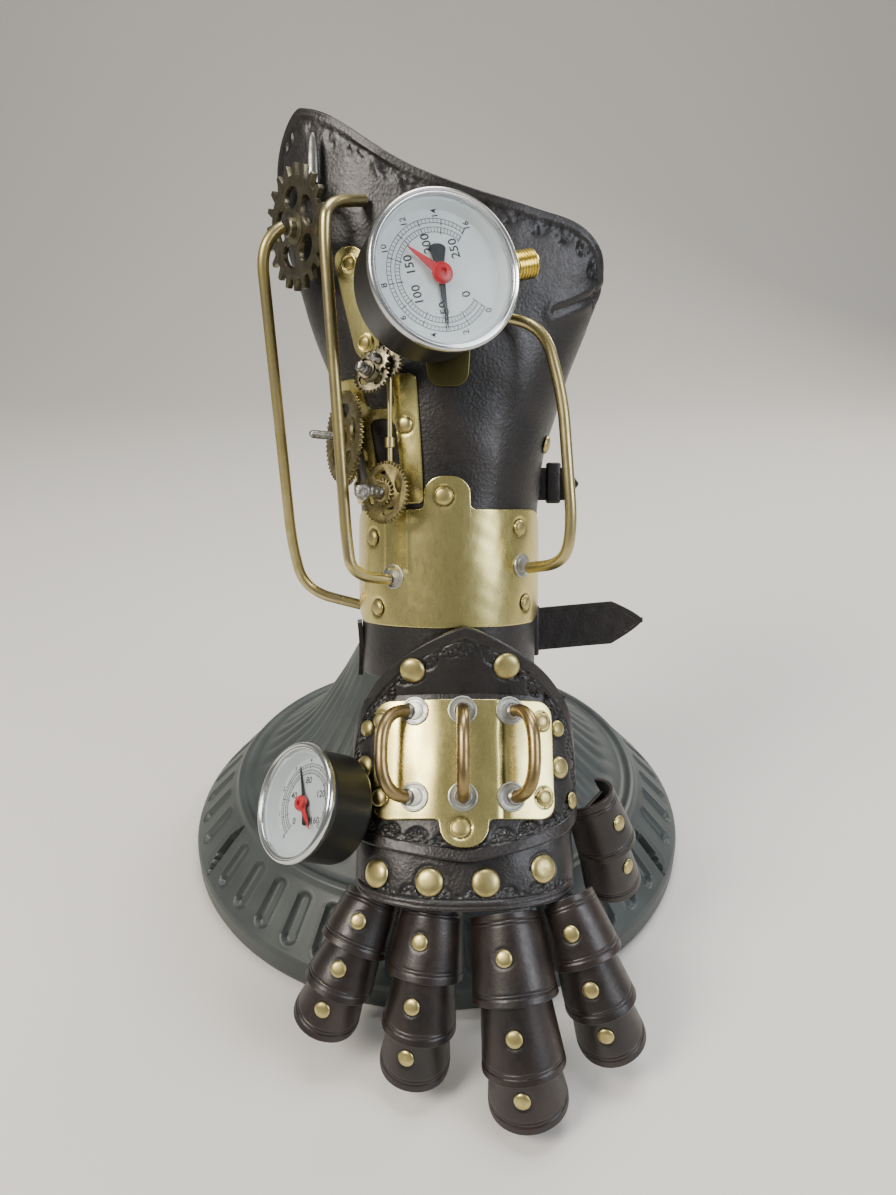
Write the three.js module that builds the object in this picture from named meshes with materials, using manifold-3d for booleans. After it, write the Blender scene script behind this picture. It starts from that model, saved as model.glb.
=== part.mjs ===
// Right-hand armoured gauntlet of tooled leather and brass, standing fingers down on a plain ribbed stand.
// Millimetres, +Z up. The origin is on the stand's axis at the floor and -Y is the front, where the
// fingers reach forward. Each limb has its own leaning group: its local -Y faces out of the back of the
// arm, hand or finger, and its local -Z runs down towards the fingertips.
import * as THREE from 'three';
import { mergeVertices } from 'three/addons/utils/BufferGeometryUtils.js';
import Module from 'manifold-3d';

// ---- Driving dimensions -----------------------------------------------------------------------------

const GAP = 0.3; // clearance between pieces that lie on each other
const ARMOUR = 2.4; // thickness of the shaped armour leather
const LAME = 1.8; // thickness of a finger plate
const STRAP = 1.6; // thickness of straps and finger strips
const BRASS = 1; // thickness of sheet brass

const STAND = {
  rim: 145, neck: 41, top: 131, postRadius: 10, postLength: 190, postDrop: 132, postSetBack: 25,
};
const SET_FORWARD = 28; // the gauntlet stands in front of the stand's axis
const FOREARM = {
  origin: [7, -23, 197], lean: 20, wristHalfWidth: 39.5, wristDepth: 38, wingHalfWidth: 77,
  wingDepth: 43, bottom: -52, flareFrom: 20, flareTo: 180, rightWingFlatness: 0.42,
};
const HAND = {
  origin: [14, -75, 165], lean: 41, halfWidth: 49, depth: 25, tip: 18.6, tipLift: 13.5,
  shoulder: -9, bottom: -68, vee: -81,
};
const WRIST_PLATE = { halfAngle: 86, bottom: -27, top: 25.5, corner: 17, tabHalfWidth: 9.5, tab: 14.5 };
const FRAME_PLATE = { left: -84, right: -15, bottom: 28, top: 84, corner: 3 };
const HAND_PLATE = { halfWidth: 39, bottom: -63.5, top: -12, corner: 6, tabHalfWidth: 10, tab: 12 };
const BAND = { halfAngle: 90, top: -70, bottom: -101, rise: 12 };
const HANDLE = { wire: 2.8, rise: 20, top: -17, bottom: -54, bend: 17 };
const TUBE_RADIUS = 2.5;
const UPPER_GAUGE = {
  centre: [-1.5, -80.5, 116.3], normal: [0.37, -0.923, 0.08], radius: 29.5, depth: 27,
};
const LOWER_GAUGE = {
  centre: [-72.5, -1.5, -56.3], normal: [-0.7, -0.709, 0.1], radius: 24, depth: 24,
};

// ---- Finishes -----------------------------------------------------------------------------------------

const finish = (color, roughness, metalness) => new THREE.MeshStandardMaterial({
  color, roughness, metalness,
});

const LEATHER = finish('#2a211f', 0.45, 0);
const LAME_LEATHER = finish('#2f2320', 0.38, 0);
const STAND_PLASTIC = finish('#3a4240', 0.6, 0);
const SHEET_BRASS = finish('#b8a24a', 0.25, 1);
const TUBE_BRASS = finish('#9a7f45', 0.32, 1);
const COPPER = finish('#8a6236', 0.3, 1);
const BRONZE = finish('#7f6c3c', 0.5, 1);
const STEEL = finish('#9b9a96', 0.35, 1);
const BLACK_PLASTIC = finish('#141515', 0.4, 0);
const DIAL_WHITE = finish('#d5d9d6', 0.5, 0);
const POINTER_RED = finish('#c8202a', 0.4, 0);
const GLASS = finish('#eef2f2', 0.05, 0);

// ---- Solids -------------------------------------------------------------------------------------------

const manifold = await Module();
manifold.setup();

const radians = THREE.MathUtils.degToRad;
const smooth = (value, from, to) => THREE.MathUtils.smoothstep(value, from, to);

/** One closed mesh with shared corners and its faces turned out. */
function closed(geometry) {
  const bare = geometry.clone();
  bare.deleteAttribute('normal');
  bare.deleteAttribute('uv');
  bare.clearGroups();
  const merged = mergeVertices(bare, 1e-4);
  const index = Array.from(merged.index.array);
  const [a, b, c] = [new THREE.Vector3(), new THREE.Vector3(), new THREE.Vector3()];
  const corners = merged.attributes.position;
  const kept = [];
  let volume = 0;
  for (let i = 0; i < index.length; i += 3) {
    const [p, q, r] = index.slice(i, i + 3);
    if (p === q || q === r || r === p) continue;
    a.fromBufferAttribute(corners, p);
    b.fromBufferAttribute(corners, q);
    c.fromBufferAttribute(corners, r);
    volume += a.dot(b.cross(c));
    kept.push(p, q, r);
  }
  if (volume < 0) kept.reverse();
  merged.setIndex(kept);
  merged.computeVertexNormals();
  return merged;
}

function toManifold(geometry) {
  const solid = closed(geometry);
  return new manifold.Manifold(new manifold.Mesh({
    numProp: 3,
    vertProperties: new Float32Array(solid.attributes.position.array),
    triVerts: new Uint32Array(solid.index.array),
  }));
}

function toGeometry(solid) {
  const mesh = solid.getMesh();
  const geometry = new THREE.BufferGeometry();
  geometry.setAttribute('position', new THREE.BufferAttribute(new Float32Array(mesh.vertProperties), 3));
  geometry.setIndex(Array.from(mesh.triVerts));
  return geometry;
}

const join = (...shapes) => toGeometry(shapes.map(toManifold).reduce((sum, next) => sum.add(next)));
const cut = (shape, ...tools) => toGeometry(
  tools.map(toManifold).reduce((rest, tool) => rest.subtract(tool), toManifold(shape)),
);

/** Adds one named sub-part to a group. */
function part(group, name, geometry, material) {
  const mesh = new THREE.Mesh(closed(geometry), material);
  mesh.name = name;
  group.add(mesh);
  return mesh;
}

/** A group that leans back from upright by an angle, about a line along X through its origin. */
function leaning(parent, origin, lean) {
  const group = new THREE.Group();
  group.position.set(...origin);
  group.rotation.x = -radians(lean);
  parent.add(group);
  return group;
}

/** Moves a geometry so that its Z axis points along a direction from a place. */
function aimed(geometry, place, direction, roll = 0) {
  const z = new THREE.Vector3(...direction).normalize();
  const x = new THREE.Vector3(0, 0, 1).cross(z).normalize();
  const y = z.clone().cross(x);
  const matrix = new THREE.Matrix4().makeBasis(x, y, z).setPosition(...place);
  return geometry.clone().rotateZ(roll).applyMatrix4(matrix);
}

/** A turned solid about Z; the profile lists [radius, height] and starts and ends on the axis. */
function turned(profile, segments = 28) {
  const points = profile.map(([radius, height]) => new THREE.Vector2(radius, height));
  return new THREE.LatheGeometry(points, segments).rotateX(Math.PI / 2);
}

const disc = (radius, from, to, segments = 24) => turned(
  [[0, from], [radius, from], [radius, to], [0, to]], segments,
);

/**
 * A wall of even thickness on a curved surface. `surface(x, z)` is a point of the surface, `outline(a, b)`
 * turns 0..1 across and 0..1 up into x and z, and `lift` is the gap under the wall.
 */
function wall({ surface, outline, columns, rows, thickness, lift = 0 }) {
  const box = new THREE.BoxGeometry(1, 1, 1, columns, rows, 1);
  const corners = box.attributes.position;
  const step = 0.01;
  for (let i = 0; i < corners.count; i += 1) {
    const [x, z] = outline(corners.getX(i) + 0.5, corners.getY(i) + 0.5);
    const across = surface(x + step, z).sub(surface(x - step, z));
    const up = surface(x, z + step).sub(surface(x, z - step));
    const out = across.cross(up).normalize();
    const height = corners.getZ(i) > 0 ? lift + thickness : lift;
    const point = surface(x, z).addScaledVector(out, height);
    corners.setXYZ(i, point.x, point.y, point.z);
  }
  return box;
}

/** How far a rounded corner pulls an edge in, at a distance inside the edge that meets it. */
const rounding = (inside, radius) => (
  inside >= radius ? 0 : radius - Math.sqrt(radius ** 2 - (radius - inside) ** 2)
);

/** A rounded plate outline, with an optional tab above or below its middle. */
function plateOutline({ left, right, bottom, top, corner, tabHalfWidth = 0, tabTop = 0, tabBottom = 0 }) {
  return (a, b) => {
    const eased = 0.5 - 0.5 * Math.cos(Math.PI * a);
    const x = THREE.MathUtils.lerp(left, right, (a + eased) / 2);
    const pull = rounding(Math.min(x - left, right - x), corner);
    const middle = (left + right) / 2;
    const tab = Math.sqrt(Math.max(0, 1 - (Math.abs(x - middle) / tabHalfWidth) ** 4 || 0));
    const low = bottom + pull - tab * tabBottom;
    const high = top - pull + tab * tabTop;
    return [x, THREE.MathUtils.lerp(low, high, b)];
  };
}

/** A round wire or tube through points, with rounded bends. */
function bentTube(points, radius, bend, steps, sides = 8) {
  const route = points.map((point) => new THREE.Vector3(...point));
  const path = new THREE.CurvePath();
  let start = route[0];
  for (let i = 1; i < route.length - 1; i += 1) {
    const corner = route[i];
    const towards = (end, most) => corner.clone().lerp(end, Math.min(most, bend / corner.distanceTo(end)));
    const before = towards(start, 0.95);
    const after = towards(route[i + 1], i + 2 < route.length ? 0.49 : 0.95);
    path.add(new THREE.LineCurve3(start, before));
    path.add(new THREE.QuadraticBezierCurve3(before, corner, after));
    start = after;
  }
  path.add(new THREE.LineCurve3(start, route[route.length - 1]));
  const section = new THREE.Shape();
  section.absarc(0, 0, radius, 0, 2 * Math.PI);
  return new THREE.ExtrudeGeometry(section, { extrudePath: path, steps, curveSegments: sides / 2 });
}

/** A toothed wheel about Z, centred on its thickness; windows are holes spaced round it. */
function wheel({
  teeth, root, tip, thickness, windows = 0, windowAt = 0, windowLength = 0, windowWidth = 0,
}) {
  const outline = new THREE.Shape();
  const pitch = (2 * Math.PI) / teeth;
  const corners = [[0, root], [0.18, tip], [0.5, tip], [0.68, root]];
  for (let tooth = 0; tooth < teeth; tooth += 1) {
    for (const [share, radius] of corners) {
      const angle = (tooth + share) * pitch;
      outline[tooth + share ? 'lineTo' : 'moveTo'](radius * Math.cos(angle), radius * Math.sin(angle));
    }
  }
  outline.closePath();
  for (let i = 0; i < windows; i += 1) {
    const angle = (2 * Math.PI * i) / windows;
    const hole = new THREE.Path();
    const [x, y] = [windowAt * Math.cos(angle), windowAt * Math.sin(angle)];
    hole.absellipse(x, y, windowLength / 2, windowWidth / 2, 0, 2 * Math.PI, true, angle);
    outline.holes.push(hole);
  }
  const options = { depth: thickness, bevelEnabled: false, curveSegments: 4 };
  return new THREE.ExtrudeGeometry(outline, options).translate(0, 0, -thickness / 2);
}

// ---- Stand --------------------------------------------------------------------------------------------

/** The flared base, from its rim over the sloping band and the ridge up to the neck. */
function standBase() {
  const { rim, neck, top } = STAND;
  const profile = [[rim - 3, 0], [rim, 3], [rim, 14], [119, 42], [116.5, 45], [112, 44], [101, 51], [88, 62],
    [73, 77], [57.5, 100], [47, 119], [neck, top - 1.5], [neck - 1.5, top]];
  return turned([[0, 0], ...profile, [0, top]], 44);
}

/** A round post leans with the forearm and carries it; it grows out of the neck's front. */
function addStand(root) {
  const lean = radians(FOREARM.lean);
  const along = new THREE.Vector3(0, Math.sin(lean), Math.cos(lean));
  const back = new THREE.Vector3(0, Math.cos(lean), -Math.sin(lean));
  const [x, y, z] = FOREARM.origin;
  const foot = new THREE.Vector3(x, y - SET_FORWARD, z);
  foot.addScaledVector(along, -STAND.postDrop).addScaledVector(back, STAND.postSetBack);
  const post = disc(STAND.postRadius, 0, STAND.postLength, 20);
  part(root, 'stand', join(standBase(), aimed(post, foot.toArray(), along.toArray())), STAND_PLASTIC);
}

// ---- Forearm ------------------------------------------------------------------------------------------

const flare = (z) => smooth(z, FOREARM.flareFrom, FOREARM.flareTo);
const armHalfWidth = (z) => THREE.MathUtils.lerp(FOREARM.wristHalfWidth, FOREARM.wingHalfWidth, flare(z));
const armDepth = (z) => THREE.MathUtils.lerp(FOREARM.wristDepth, FOREARM.wingDepth, flare(z));

/** The leather's inner face; the angle is in degrees, 0 at the front and positive to the right. */
function armSurface(angle, z) {
  const turn = radians(angle);
  const flatness = FOREARM.rightWingFlatness * smooth(z, 60, 150) * smooth(angle, 20, 70);
  const arch = THREE.MathUtils.lerp(Math.cos(turn), 1, flatness);
  return new THREE.Vector3(armHalfWidth(z) * Math.sin(turn), -armDepth(z) * arch, z);
}

/** The shield wraps almost round the wrist and opens behind the elbow. */
function shieldOutline(a, b) {
  const side = 2 * a - 1;
  const corner = side < 0
    ? 51 * Math.max(0, (-side - 0.6) / 0.4) ** 1.5
    : 34 * Math.max(0, (side - 0.4) / 0.6) ** 2.2;
  const peak = 11 * Math.exp(-(((side + 0.46) / 0.26) ** 2));
  const top = 162 - 35 * side + 22 * side ** 2 + peak - corner;
  const z = THREE.MathUtils.lerp(FOREARM.bottom, top, b);
  const halfAngle = 150 - 44 * smooth(z, 0, 85) - 14 * smooth(z, 85, 150);
  return [side * halfAngle, z];
}

const onArm = (options) => wall({ surface: armSurface, lift: ARMOUR + GAP, thickness: BRASS, ...options });

function wristPlate() {
  const { halfAngle, bottom, top, corner, tabHalfWidth, tab } = WRIST_PLATE;
  const perMillimetre = 180 / Math.PI / FOREARM.wristHalfWidth;
  const reach = halfAngle / perMillimetre;
  const outline = plateOutline({
    left: -reach, right: reach, bottom, top, corner, tabHalfWidth, tabTop: tab,
  });
  return onArm({
    outline: (a, b) => {
      const [x, z] = outline(a, b);
      return [x * perMillimetre - 1, z];
    },
    columns: 28,
    rows: 3,
  });
}

/** A pane cut right through the frame plate, between two angles and two heights. */
const pane = (fromAngle, toAngle, fromZ, toZ) => wall({
  surface: armSurface,
  lift: 0,
  thickness: 9,
  outline: (a, b) => [THREE.MathUtils.lerp(fromAngle, toAngle, a), THREE.MathUtils.lerp(fromZ, toZ, b)],
  columns: 2,
  rows: 1,
});

function framePlate() {
  const outline = plateOutline(FRAME_PLATE);
  const plate = onArm({ outline, columns: 14, rows: 4, lift: ARMOUR + 2 * GAP });
  return cut(plate, pane(-45, -27, 70, 79), pane(-46, -28, 45, 66), pane(-74, -55, 36, 76));
}

function bracket() {
  const outline = plateOutline({ left: -44, right: -30, bottom: 91, top: 138, corner: 6 });
  const plate = onArm({ outline, columns: 8, rows: 4 });
  const eyelet = (z) => {
    const place = armSurface(-37, z).toArray();
    return aimed(disc(2.2, -2, 9, 12), place, [-0.6, -0.8, 0]);
  };
  return cut(plate, eyelet(130), eyelet(97));
}

function addForearm(root) {
  const arm = leaning(root, FOREARM.origin, FOREARM.lean);
  part(arm, 'forearm_shell', wall({
    surface: armSurface, outline: shieldOutline, columns: 24, rows: 12, thickness: ARMOUR,
  }), LEATHER);
  part(arm, 'wrist_plate', wristPlate(), SHEET_BRASS);
  part(arm, 'frame_plate', framePlate(), SHEET_BRASS);
  part(arm, 'upper_bracket', bracket(), SHEET_BRASS);
  addStraps(arm);
  addMovement(arm);
  addTubes(arm);
  addUpperGauge(arm);
}

/** The pointed end of a strap, from 0 to its length and to both sides of its middle line. */
const pointedEnd = (length, halfWidth, point) => (a, b) => {
  const x = a * length;
  const half = halfWidth * (x < length - point ? 1 : Math.max(0.12, (length - x) / point) ** 0.7);
  return [x, THREE.MathUtils.lerp(-half, half, b)];
};

/** A strap round the open back of the arm, whose free end stands off the right side. */
function strap({ z, halfWidth, from, to, lift, end }) {
  const loop = onArm({
    outline: (a, b) => [THREE.MathUtils.lerp(from, to, a), z + halfWidth * (2 * b - 1)],
    columns: 14,
    rows: 1,
    thickness: STRAP,
    lift,
  });
  const free = wall({
    surface: (x, height) => new THREE.Vector3(
      end.x + x, end.y + end.curl * x ** 2, z + height + end.rise * x,
    ),
    outline: pointedEnd(end.length, halfWidth, end.point),
    columns: 10,
    rows: 2,
    thickness: STRAP,
  });
  return join(loop, free);
}

/** A square buckle frame that stands on a strap at an angle round the arm. */
function buckle(z, halfWidth, angle, lift) {
  const frame = (half, high, depth) => new THREE.BoxGeometry(2 * half, 2 * high, depth);
  const ring = cut(frame(8, halfWidth + 3.2, 2.2), frame(5.2, halfWidth + 0.8, 4));
  const turn = radians(angle);
  const out = new THREE.Vector3(Math.sin(turn) / armHalfWidth(z), -Math.cos(turn) / armDepth(z), 0);
  out.normalize();
  return aimed(ring, armSurface(angle, z).addScaledVector(out, lift).toArray(), out.toArray());
}

function addStraps(arm) {
  const over = ARMOUR + GAP;
  const wrist = {
    z: -37, halfWidth: 11, from: 122, to: 246, lift: over,
    end: { x: 34, y: 25.6, length: 66, point: 14, curl: 0, rise: 0.09 },
  };
  const upper = {
    z: 38, halfWidth: 8, from: 107, to: 252, lift: over,
    end: { x: 42.6, y: 13.4, length: 21, point: 5, curl: -0.012, rise: 0 },
  };
  part(arm, 'wrist_strap', strap(wrist), LEATHER);
  part(arm, 'upper_strap', strap(upper), LEATHER);
  part(arm, 'wrist_buckle', buckle(wrist.z, wrist.halfWidth, 222, over + 5.4), SHEET_BRASS);
  part(arm, 'upper_buckle', buckle(upper.z, upper.halfWidth, 205, over + 5.4), SHEET_BRASS);
  part(arm, 'wrist_flap', wall({
    surface: (x, z) => new THREE.Vector3(-44.4 - 0.1 * x, -4 + x, -27 + z),
    outline: (a, b) => {
      const half = 7.5 * (1 - 0.75 * (1 - b) ** 2);
      return [THREE.MathUtils.lerp(half, -half, a), THREE.MathUtils.lerp(-27, -1.5, b)];
    },
    columns: 4,
    rows: 5,
    thickness: STRAP,
  }), LEATHER);
}

// ---- Wheels and rods on the forearm -------------------------------------------------------------------

function addMovement(arm) {
  const sprocket = join(
    wheel({
      teeth: 22, root: 21.5, tip: 25.5, thickness: 2.4, windows: 6, windowAt: 13.5, windowLength: 11,
      windowWidth: 7,
    }),
    disc(5.5, -4, 5, 16),
  );
  part(arm, 'big_sprocket', aimed(sprocket, [-65.5, -34.5, 146], [-0.79, -0.6, -0.1]), BRONZE);

  const cluster = join(
    wheel({ teeth: 16, root: 7.2, tip: 9, thickness: 2.2 }),
    disc(5.2, -5, 4.5, 12),
    disc(2.4, -6, 10, 10),
  );
  part(arm, 'cluster_gear', aimed(cluster, [-32.5, -50.5, 82.8], [-0.45, -0.88, 0.12]), BRONZE);

  const clock = join(
    wheel({
      teeth: 28, root: 18.8, tip: 20.5, thickness: 1.6, windows: 5, windowAt: 11.5, windowLength: 9,
      windowWidth: 6,
    }),
    disc(4, -2.5, 3, 14),
    disc(2, -3, 16, 10),
  );
  const clockNormal = [-0.87, -0.48, 0.05];
  part(arm, 'clock_wheel', aimed(clock, [-47, -27.5, 57.6], clockNormal), BRONZE);
  const rear = wheel({ teeth: 24, root: 11, tip: 12.8, thickness: 1.4 });
  part(arm, 'rear_wheel', aimed(rear, [-46.6, -18, 49], clockNormal), BRONZE);

  const lower = join(
    wheel({
      teeth: 24, root: 12, tip: 13.5, thickness: 1.6, windows: 4, windowAt: 7.6, windowLength: 5.5,
      windowWidth: 3.6,
    }),
    disc(4.2, -4, 3, 14),
    disc(2.6, 2, 15, 10),
  );
  part(arm, 'lower_wheel', aimed(lower, [-27.5, -45.5, 32.5], [-0.62, -0.78, 0.08]), BRONZE);

  const rod = disc(1.2, 41, 88, 8).translate(-25.5, -43, 0);
  const collar = disc(2.2, 52, 56, 10).translate(-25.5, -43, 0);
  part(arm, 'frame_rod', join(rod, collar), BRONZE);

  const spike = turned([[0, -2], [3, -2], [3, 0], [2.2, 4], [0, 19]], 12);
  part(arm, 'cuff_spike', spike.translate(-58, -36.5, 166), STEEL);
}

function addTubes(arm) {
  const outer = [
    [-71.2, -38, 145.3], [-80, -42, 139], [-75, -4, 8], [-70, 2, -14], [-43, 3, -21],
  ];
  const inner = [
    [-36, -42, 155], [-49, -62, 148], [-50, -62, 135], [-44, -48, 12], [-42, -47, -3], [-27, -34, -6],
  ];
  const right = [
    [26, -44, 106], [40, -48, 102], [48, -50, 72], [52.5, -51, 18], [50, -46, 2], [36, -28.5, -1],
  ];
  part(arm, 'tube_outer', bentTube(outer, TUBE_RADIUS, 14, 30), TUBE_BRASS);
  part(arm, 'tube_inner', bentTube(inner, TUBE_RADIUS, 12, 30), TUBE_BRASS);
  part(arm, 'tube_right', bentTube(right, TUBE_RADIUS, 12, 28), TUBE_BRASS);
}

// ---- Gauges -------------------------------------------------------------------------------------------

/** A dial gauge whose face looks along a normal; each piece is modelled about Z with the face at 0. */
function addGauge(group, prefix, { centre, normal, radius, depth }, pointerAngle, setAngle) {
  const add = (name, geometry, material) => part(
    group, `${prefix}_${name}`, aimed(geometry, centre, normal), material,
  );
  const well = -7;
  const wallThickness = 2;
  const inside = radius - wallThickness;
  add('case', turned([[0, -depth], [radius - 2, -depth], [radius, 2 - depth], [radius, -1.2],
    [inside, -1.2], [inside, well], [0, well]]), BLACK_PLASTIC);
  const lip = radius + 1.8;
  const bezel = [[inside - 1, -0.9], [lip, -0.9], [lip, 1.6], [lip - 1, 2.6], [inside - 1, 1.4]];
  add('bezel', turned([...bezel, bezel[0]]), STEEL);
  add('dial', disc(inside - GAP, well + GAP, well + GAP + 1, 28), DIAL_WHITE);
  add('lens', disc(inside - 1 - GAP, -0.6, 0.9, 28), GLASS);
  const needle = (reach, tail, halfWidth, height) => {
    const outline = new THREE.Shape();
    outline.moveTo(-halfWidth, -tail);
    outline.lineTo(halfWidth, -tail);
    outline.lineTo(halfWidth * 0.45, reach * 0.7);
    outline.lineTo(0, reach);
    outline.lineTo(-halfWidth * 0.45, reach * 0.7);
    const flat = new THREE.ExtrudeGeometry(outline, { depth: 0.6, bevelEnabled: false });
    return flat.translate(0, 0, height);
  };
  const black = join(needle(0.72 * inside, 0.3 * inside, 1.3, -4.9), disc(2.6, -5.2, -4, 14));
  add('pointer', black.rotateZ(radians(pointerAngle)), BLACK_PLASTIC);
  const red = join(needle(0.62 * inside, 3, 1.1, -3.1), disc(3.2, -3.6, -1.6, 16));
  add('set_pointer', red.rotateZ(radians(setAngle)), POINTER_RED);
}

function addUpperGauge(arm) {
  addGauge(arm, 'upper_gauge', UPPER_GAUGE, 187, 58);
  const { centre, normal, radius, depth } = UPPER_GAUGE;
  const stub = turned([[0, radius + GAP], [6, radius + GAP], [6, radius + 3], [7.5, radius + 3],
    [7.5, radius + 7], [6, radius + 8], [6, radius + 17], [5, radius + 18], [0, radius + 18]], 18);
  const sideways = stub.rotateY(Math.PI / 2).translate(0, 0, -14);
  part(arm, 'upper_gauge_fitting', aimed(sideways, centre, normal, radians(15)), SHEET_BRASS);

  const outline = plateOutline({ left: -10, right: 9, bottom: 78, top: 128, corner: 6 });
  const strip = onArm({ outline, columns: 8, rows: 3 });
  const boss = aimed(disc(9, -depth - 14, -depth - GAP, 20), centre, normal);
  const inside = wall({
    surface: armSurface, outline: (a, b) => [-45 + 90 * a, 90 + 60 * b], columns: 16, rows: 4,
    thickness: ARMOUR + GAP + 16, lift: -16,
  });
  part(arm, 'gauge_mount', join(cut(boss, inside), strip), SHEET_BRASS);
}

// ---- Hand ---------------------------------------------------------------------------------------------

/** The hand guard's inner face: a shallow arch whose top tip stands up over the wrist. */
function handSurface(angle, z) {
  const turn = radians(angle);
  const lifted = HAND.tipLift * Math.max(0, (z - HAND.shoulder) / (HAND.tip - HAND.shoulder)) ** 1.05;
  return new THREE.Vector3(
    HAND.halfWidth * Math.sin(turn), HAND.depth * (1 - Math.cos(turn)) - lifted, z,
  );
}

/** A pointed arch above, a shallow vee below. */
function guardOutline(a, b) {
  const side = 2 * a - 1;
  const high = HAND.tip - 40 * Math.abs(side) ** 1.25 - 18 * Math.abs(side) ** 6;
  const even = HAND.vee + (HAND.bottom - HAND.vee) * Math.abs(side) ** 1.2 + 6 * Math.abs(side) ** 8;
  const low = even + 7 * Math.max(0, side) ** 1.5;
  return [92 * side, THREE.MathUtils.lerp(low, high, b)];
}

function handPlate() {
  const { halfWidth, bottom, top, corner, tabHalfWidth, tab } = HAND_PLATE;
  const outline = plateOutline({
    left: 1 - halfWidth, right: halfWidth - 1, bottom, top, corner, tabHalfWidth, tabBottom: tab,
  });
  return wall({
    surface: handSurface,
    outline: (a, b) => {
      const [x, z] = outline(a, b);
      return [THREE.MathUtils.radToDeg(Math.asin(x / HAND.halfWidth)), z];
    },
    columns: 24,
    rows: 3,
    thickness: BRASS,
    lift: ARMOUR + 3 * GAP,
  });
}

/** A D-shaped grab handle whose feet stand on the hand plate; a tilt leans it sideways. */
function handle(x, tilt) {
  const angle = THREE.MathUtils.radToDeg(Math.asin(x / HAND.halfWidth));
  const foot = handSurface(angle, -30);
  const out = new THREE.Vector3(Math.sin(radians(tilt)), -Math.cos(radians(tilt)), 0);
  const start = ARMOUR + BRASS + 4 * GAP + Math.abs(tilt) * 0.055;
  const at = (z, height) => [foot.x + out.x * height, foot.y + out.y * height, z];
  const { top, bottom, rise, bend, wire } = HANDLE;
  const route = [at(top, start), at(top, rise), at(bottom, rise), at(bottom, start)];
  return bentTube(route, wire, bend, 18);
}

function band() {
  const { halfAngle, top, bottom, rise } = BAND;
  return wall({
    surface: handSurface,
    outline: (a, b) => {
      const side = 2 * a - 1;
      const low = bottom + rise * side ** 2;
      return [halfAngle * side, THREE.MathUtils.lerp(low, top + 8 * side ** 2, b)];
    },
    columns: 18,
    rows: 3,
    thickness: ARMOUR,
    lift: -ARMOUR - GAP,
  });
}

function addHand(root) {
  const hand = leaning(root, HAND.origin, HAND.lean);
  part(hand, 'hand_guard', wall({
    surface: handSurface, outline: guardOutline, columns: 18, rows: 9, thickness: ARMOUR,
  }), LEATHER);
  part(hand, 'hand_plate', handPlate(), SHEET_BRASS);
  part(hand, 'knuckle_band', band(), LEATHER);
  part(hand, 'handle_left', handle(-21, -48), COPPER);
  part(hand, 'handle_middle', handle(-1, 0), COPPER);
  part(hand, 'handle_right', handle(19, 30), COPPER);
  addGauge(hand, 'lower_gauge', LOWER_GAUGE, 20, 215);
}

// ---- Fingers ------------------------------------------------------------------------------------------

// Each digit starts at its knuckle and bends at each plate: [length, lean from upright].
const DIGITS = [
  {
    name: 'little', start: [-26.5, -125, 81.8], splay: 17, turn: -16, halfWidth: 16.6, depth: 15,
    plates: [[25, 42], [22, 30], [21, 16]],
  },
  {
    name: 'ring', start: [0, -135, 85], splay: 5, turn: -6, halfWidth: 17.2, depth: 16,
    plates: [[31, 38], [27, 24], [23, 10]],
  },
  {
    name: 'middle', start: [30.5, -142, 88], splay: -7, turn: 2, halfWidth: 18.8, depth: 17,
    plates: [[36, 42], [32, 28], [23, 12]],
  },
  {
    name: 'index', start: [59, -131, 86], splay: -14, turn: 14, halfWidth: 17, depth: 16,
    plates: [[29, 38], [25, 26], [24, 12]],
  },
  {
    name: 'thumb', start: [82, -91, 108], splay: -10, turn: 48, halfWidth: 16.6, depth: 16,
    plates: [[30, 18], [28, 6]],
  },
];

/** A finger plate: a half-round lame, narrower at its top so that it tucks under the plate above. */
function lame(length, halfWidth, depth, tucked) {
  const overlap = tucked ? 5 : 1;
  const shrink = LAME + 2;
  const surface = (angle, z) => {
    const taper = THREE.MathUtils.clamp((z + length) / length, 0, 1.2);
    const turn = radians(angle);
    const half = halfWidth - shrink * taper;
    const inset = (tucked ? 4 : 1.4) * taper;
    return new THREE.Vector3(half * Math.sin(turn), depth * (1 - Math.cos(turn)) + inset, z);
  };
  return wall({
    surface,
    outline: (a, b) => {
      const side = 2 * a - 1;
      return [96 * side, THREE.MathUtils.lerp(-length + 3 * side ** 2, overlap - 2 * side ** 2, b)];
    },
    columns: 10,
    rows: 2,
    thickness: LAME,
    lift: -LAME,
  });
}

/** The leather strip that the plates of one digit are riveted to, along their inner faces. */
function digitStrip(joints) {
  const inset = LAME + 9.5;
  const curve = new THREE.CatmullRomCurve3(joints.map(([x, y, z]) => new THREE.Vector3(x, y + inset, z)));
  return wall({
    surface: (x, along) => curve.getPoint(THREE.MathUtils.clamp(1 - along, 0, 1)).setX(x),
    outline: (a, b) => [12 * a - 6, THREE.MathUtils.lerp(0.08, 0.9, b)],
    columns: 1,
    rows: 10,
    thickness: STRAP,
    lift: -STRAP,
  });
}

function addDigit(root, { name, start, splay, turn, halfWidth, depth, plates }) {
  const digit = new THREE.Group();
  digit.position.set(...start);
  digit.rotation.set(0, radians(splay), radians(turn), 'ZYX');
  root.add(digit);
  const joints = [[0, 0, 0]];
  plates.forEach(([length, lean], index) => {
    const [x, y, z] = joints[index];
    const segment = leaning(digit, [x, y, z], lean);
    const half = halfWidth - 0.4 * index;
    part(segment, `${name}_plate_${index + 1}`, lame(length, half, depth, index > 0), LAME_LEATHER);
    const angle = radians(lean);
    joints.push([x, y - length * Math.sin(angle), z - length * Math.cos(angle)]);
  });
  part(digit, `${name}_strip`, digitStrip(joints), LEATHER);
}

// ---- Assembly -----------------------------------------------------------------------------------------

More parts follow.
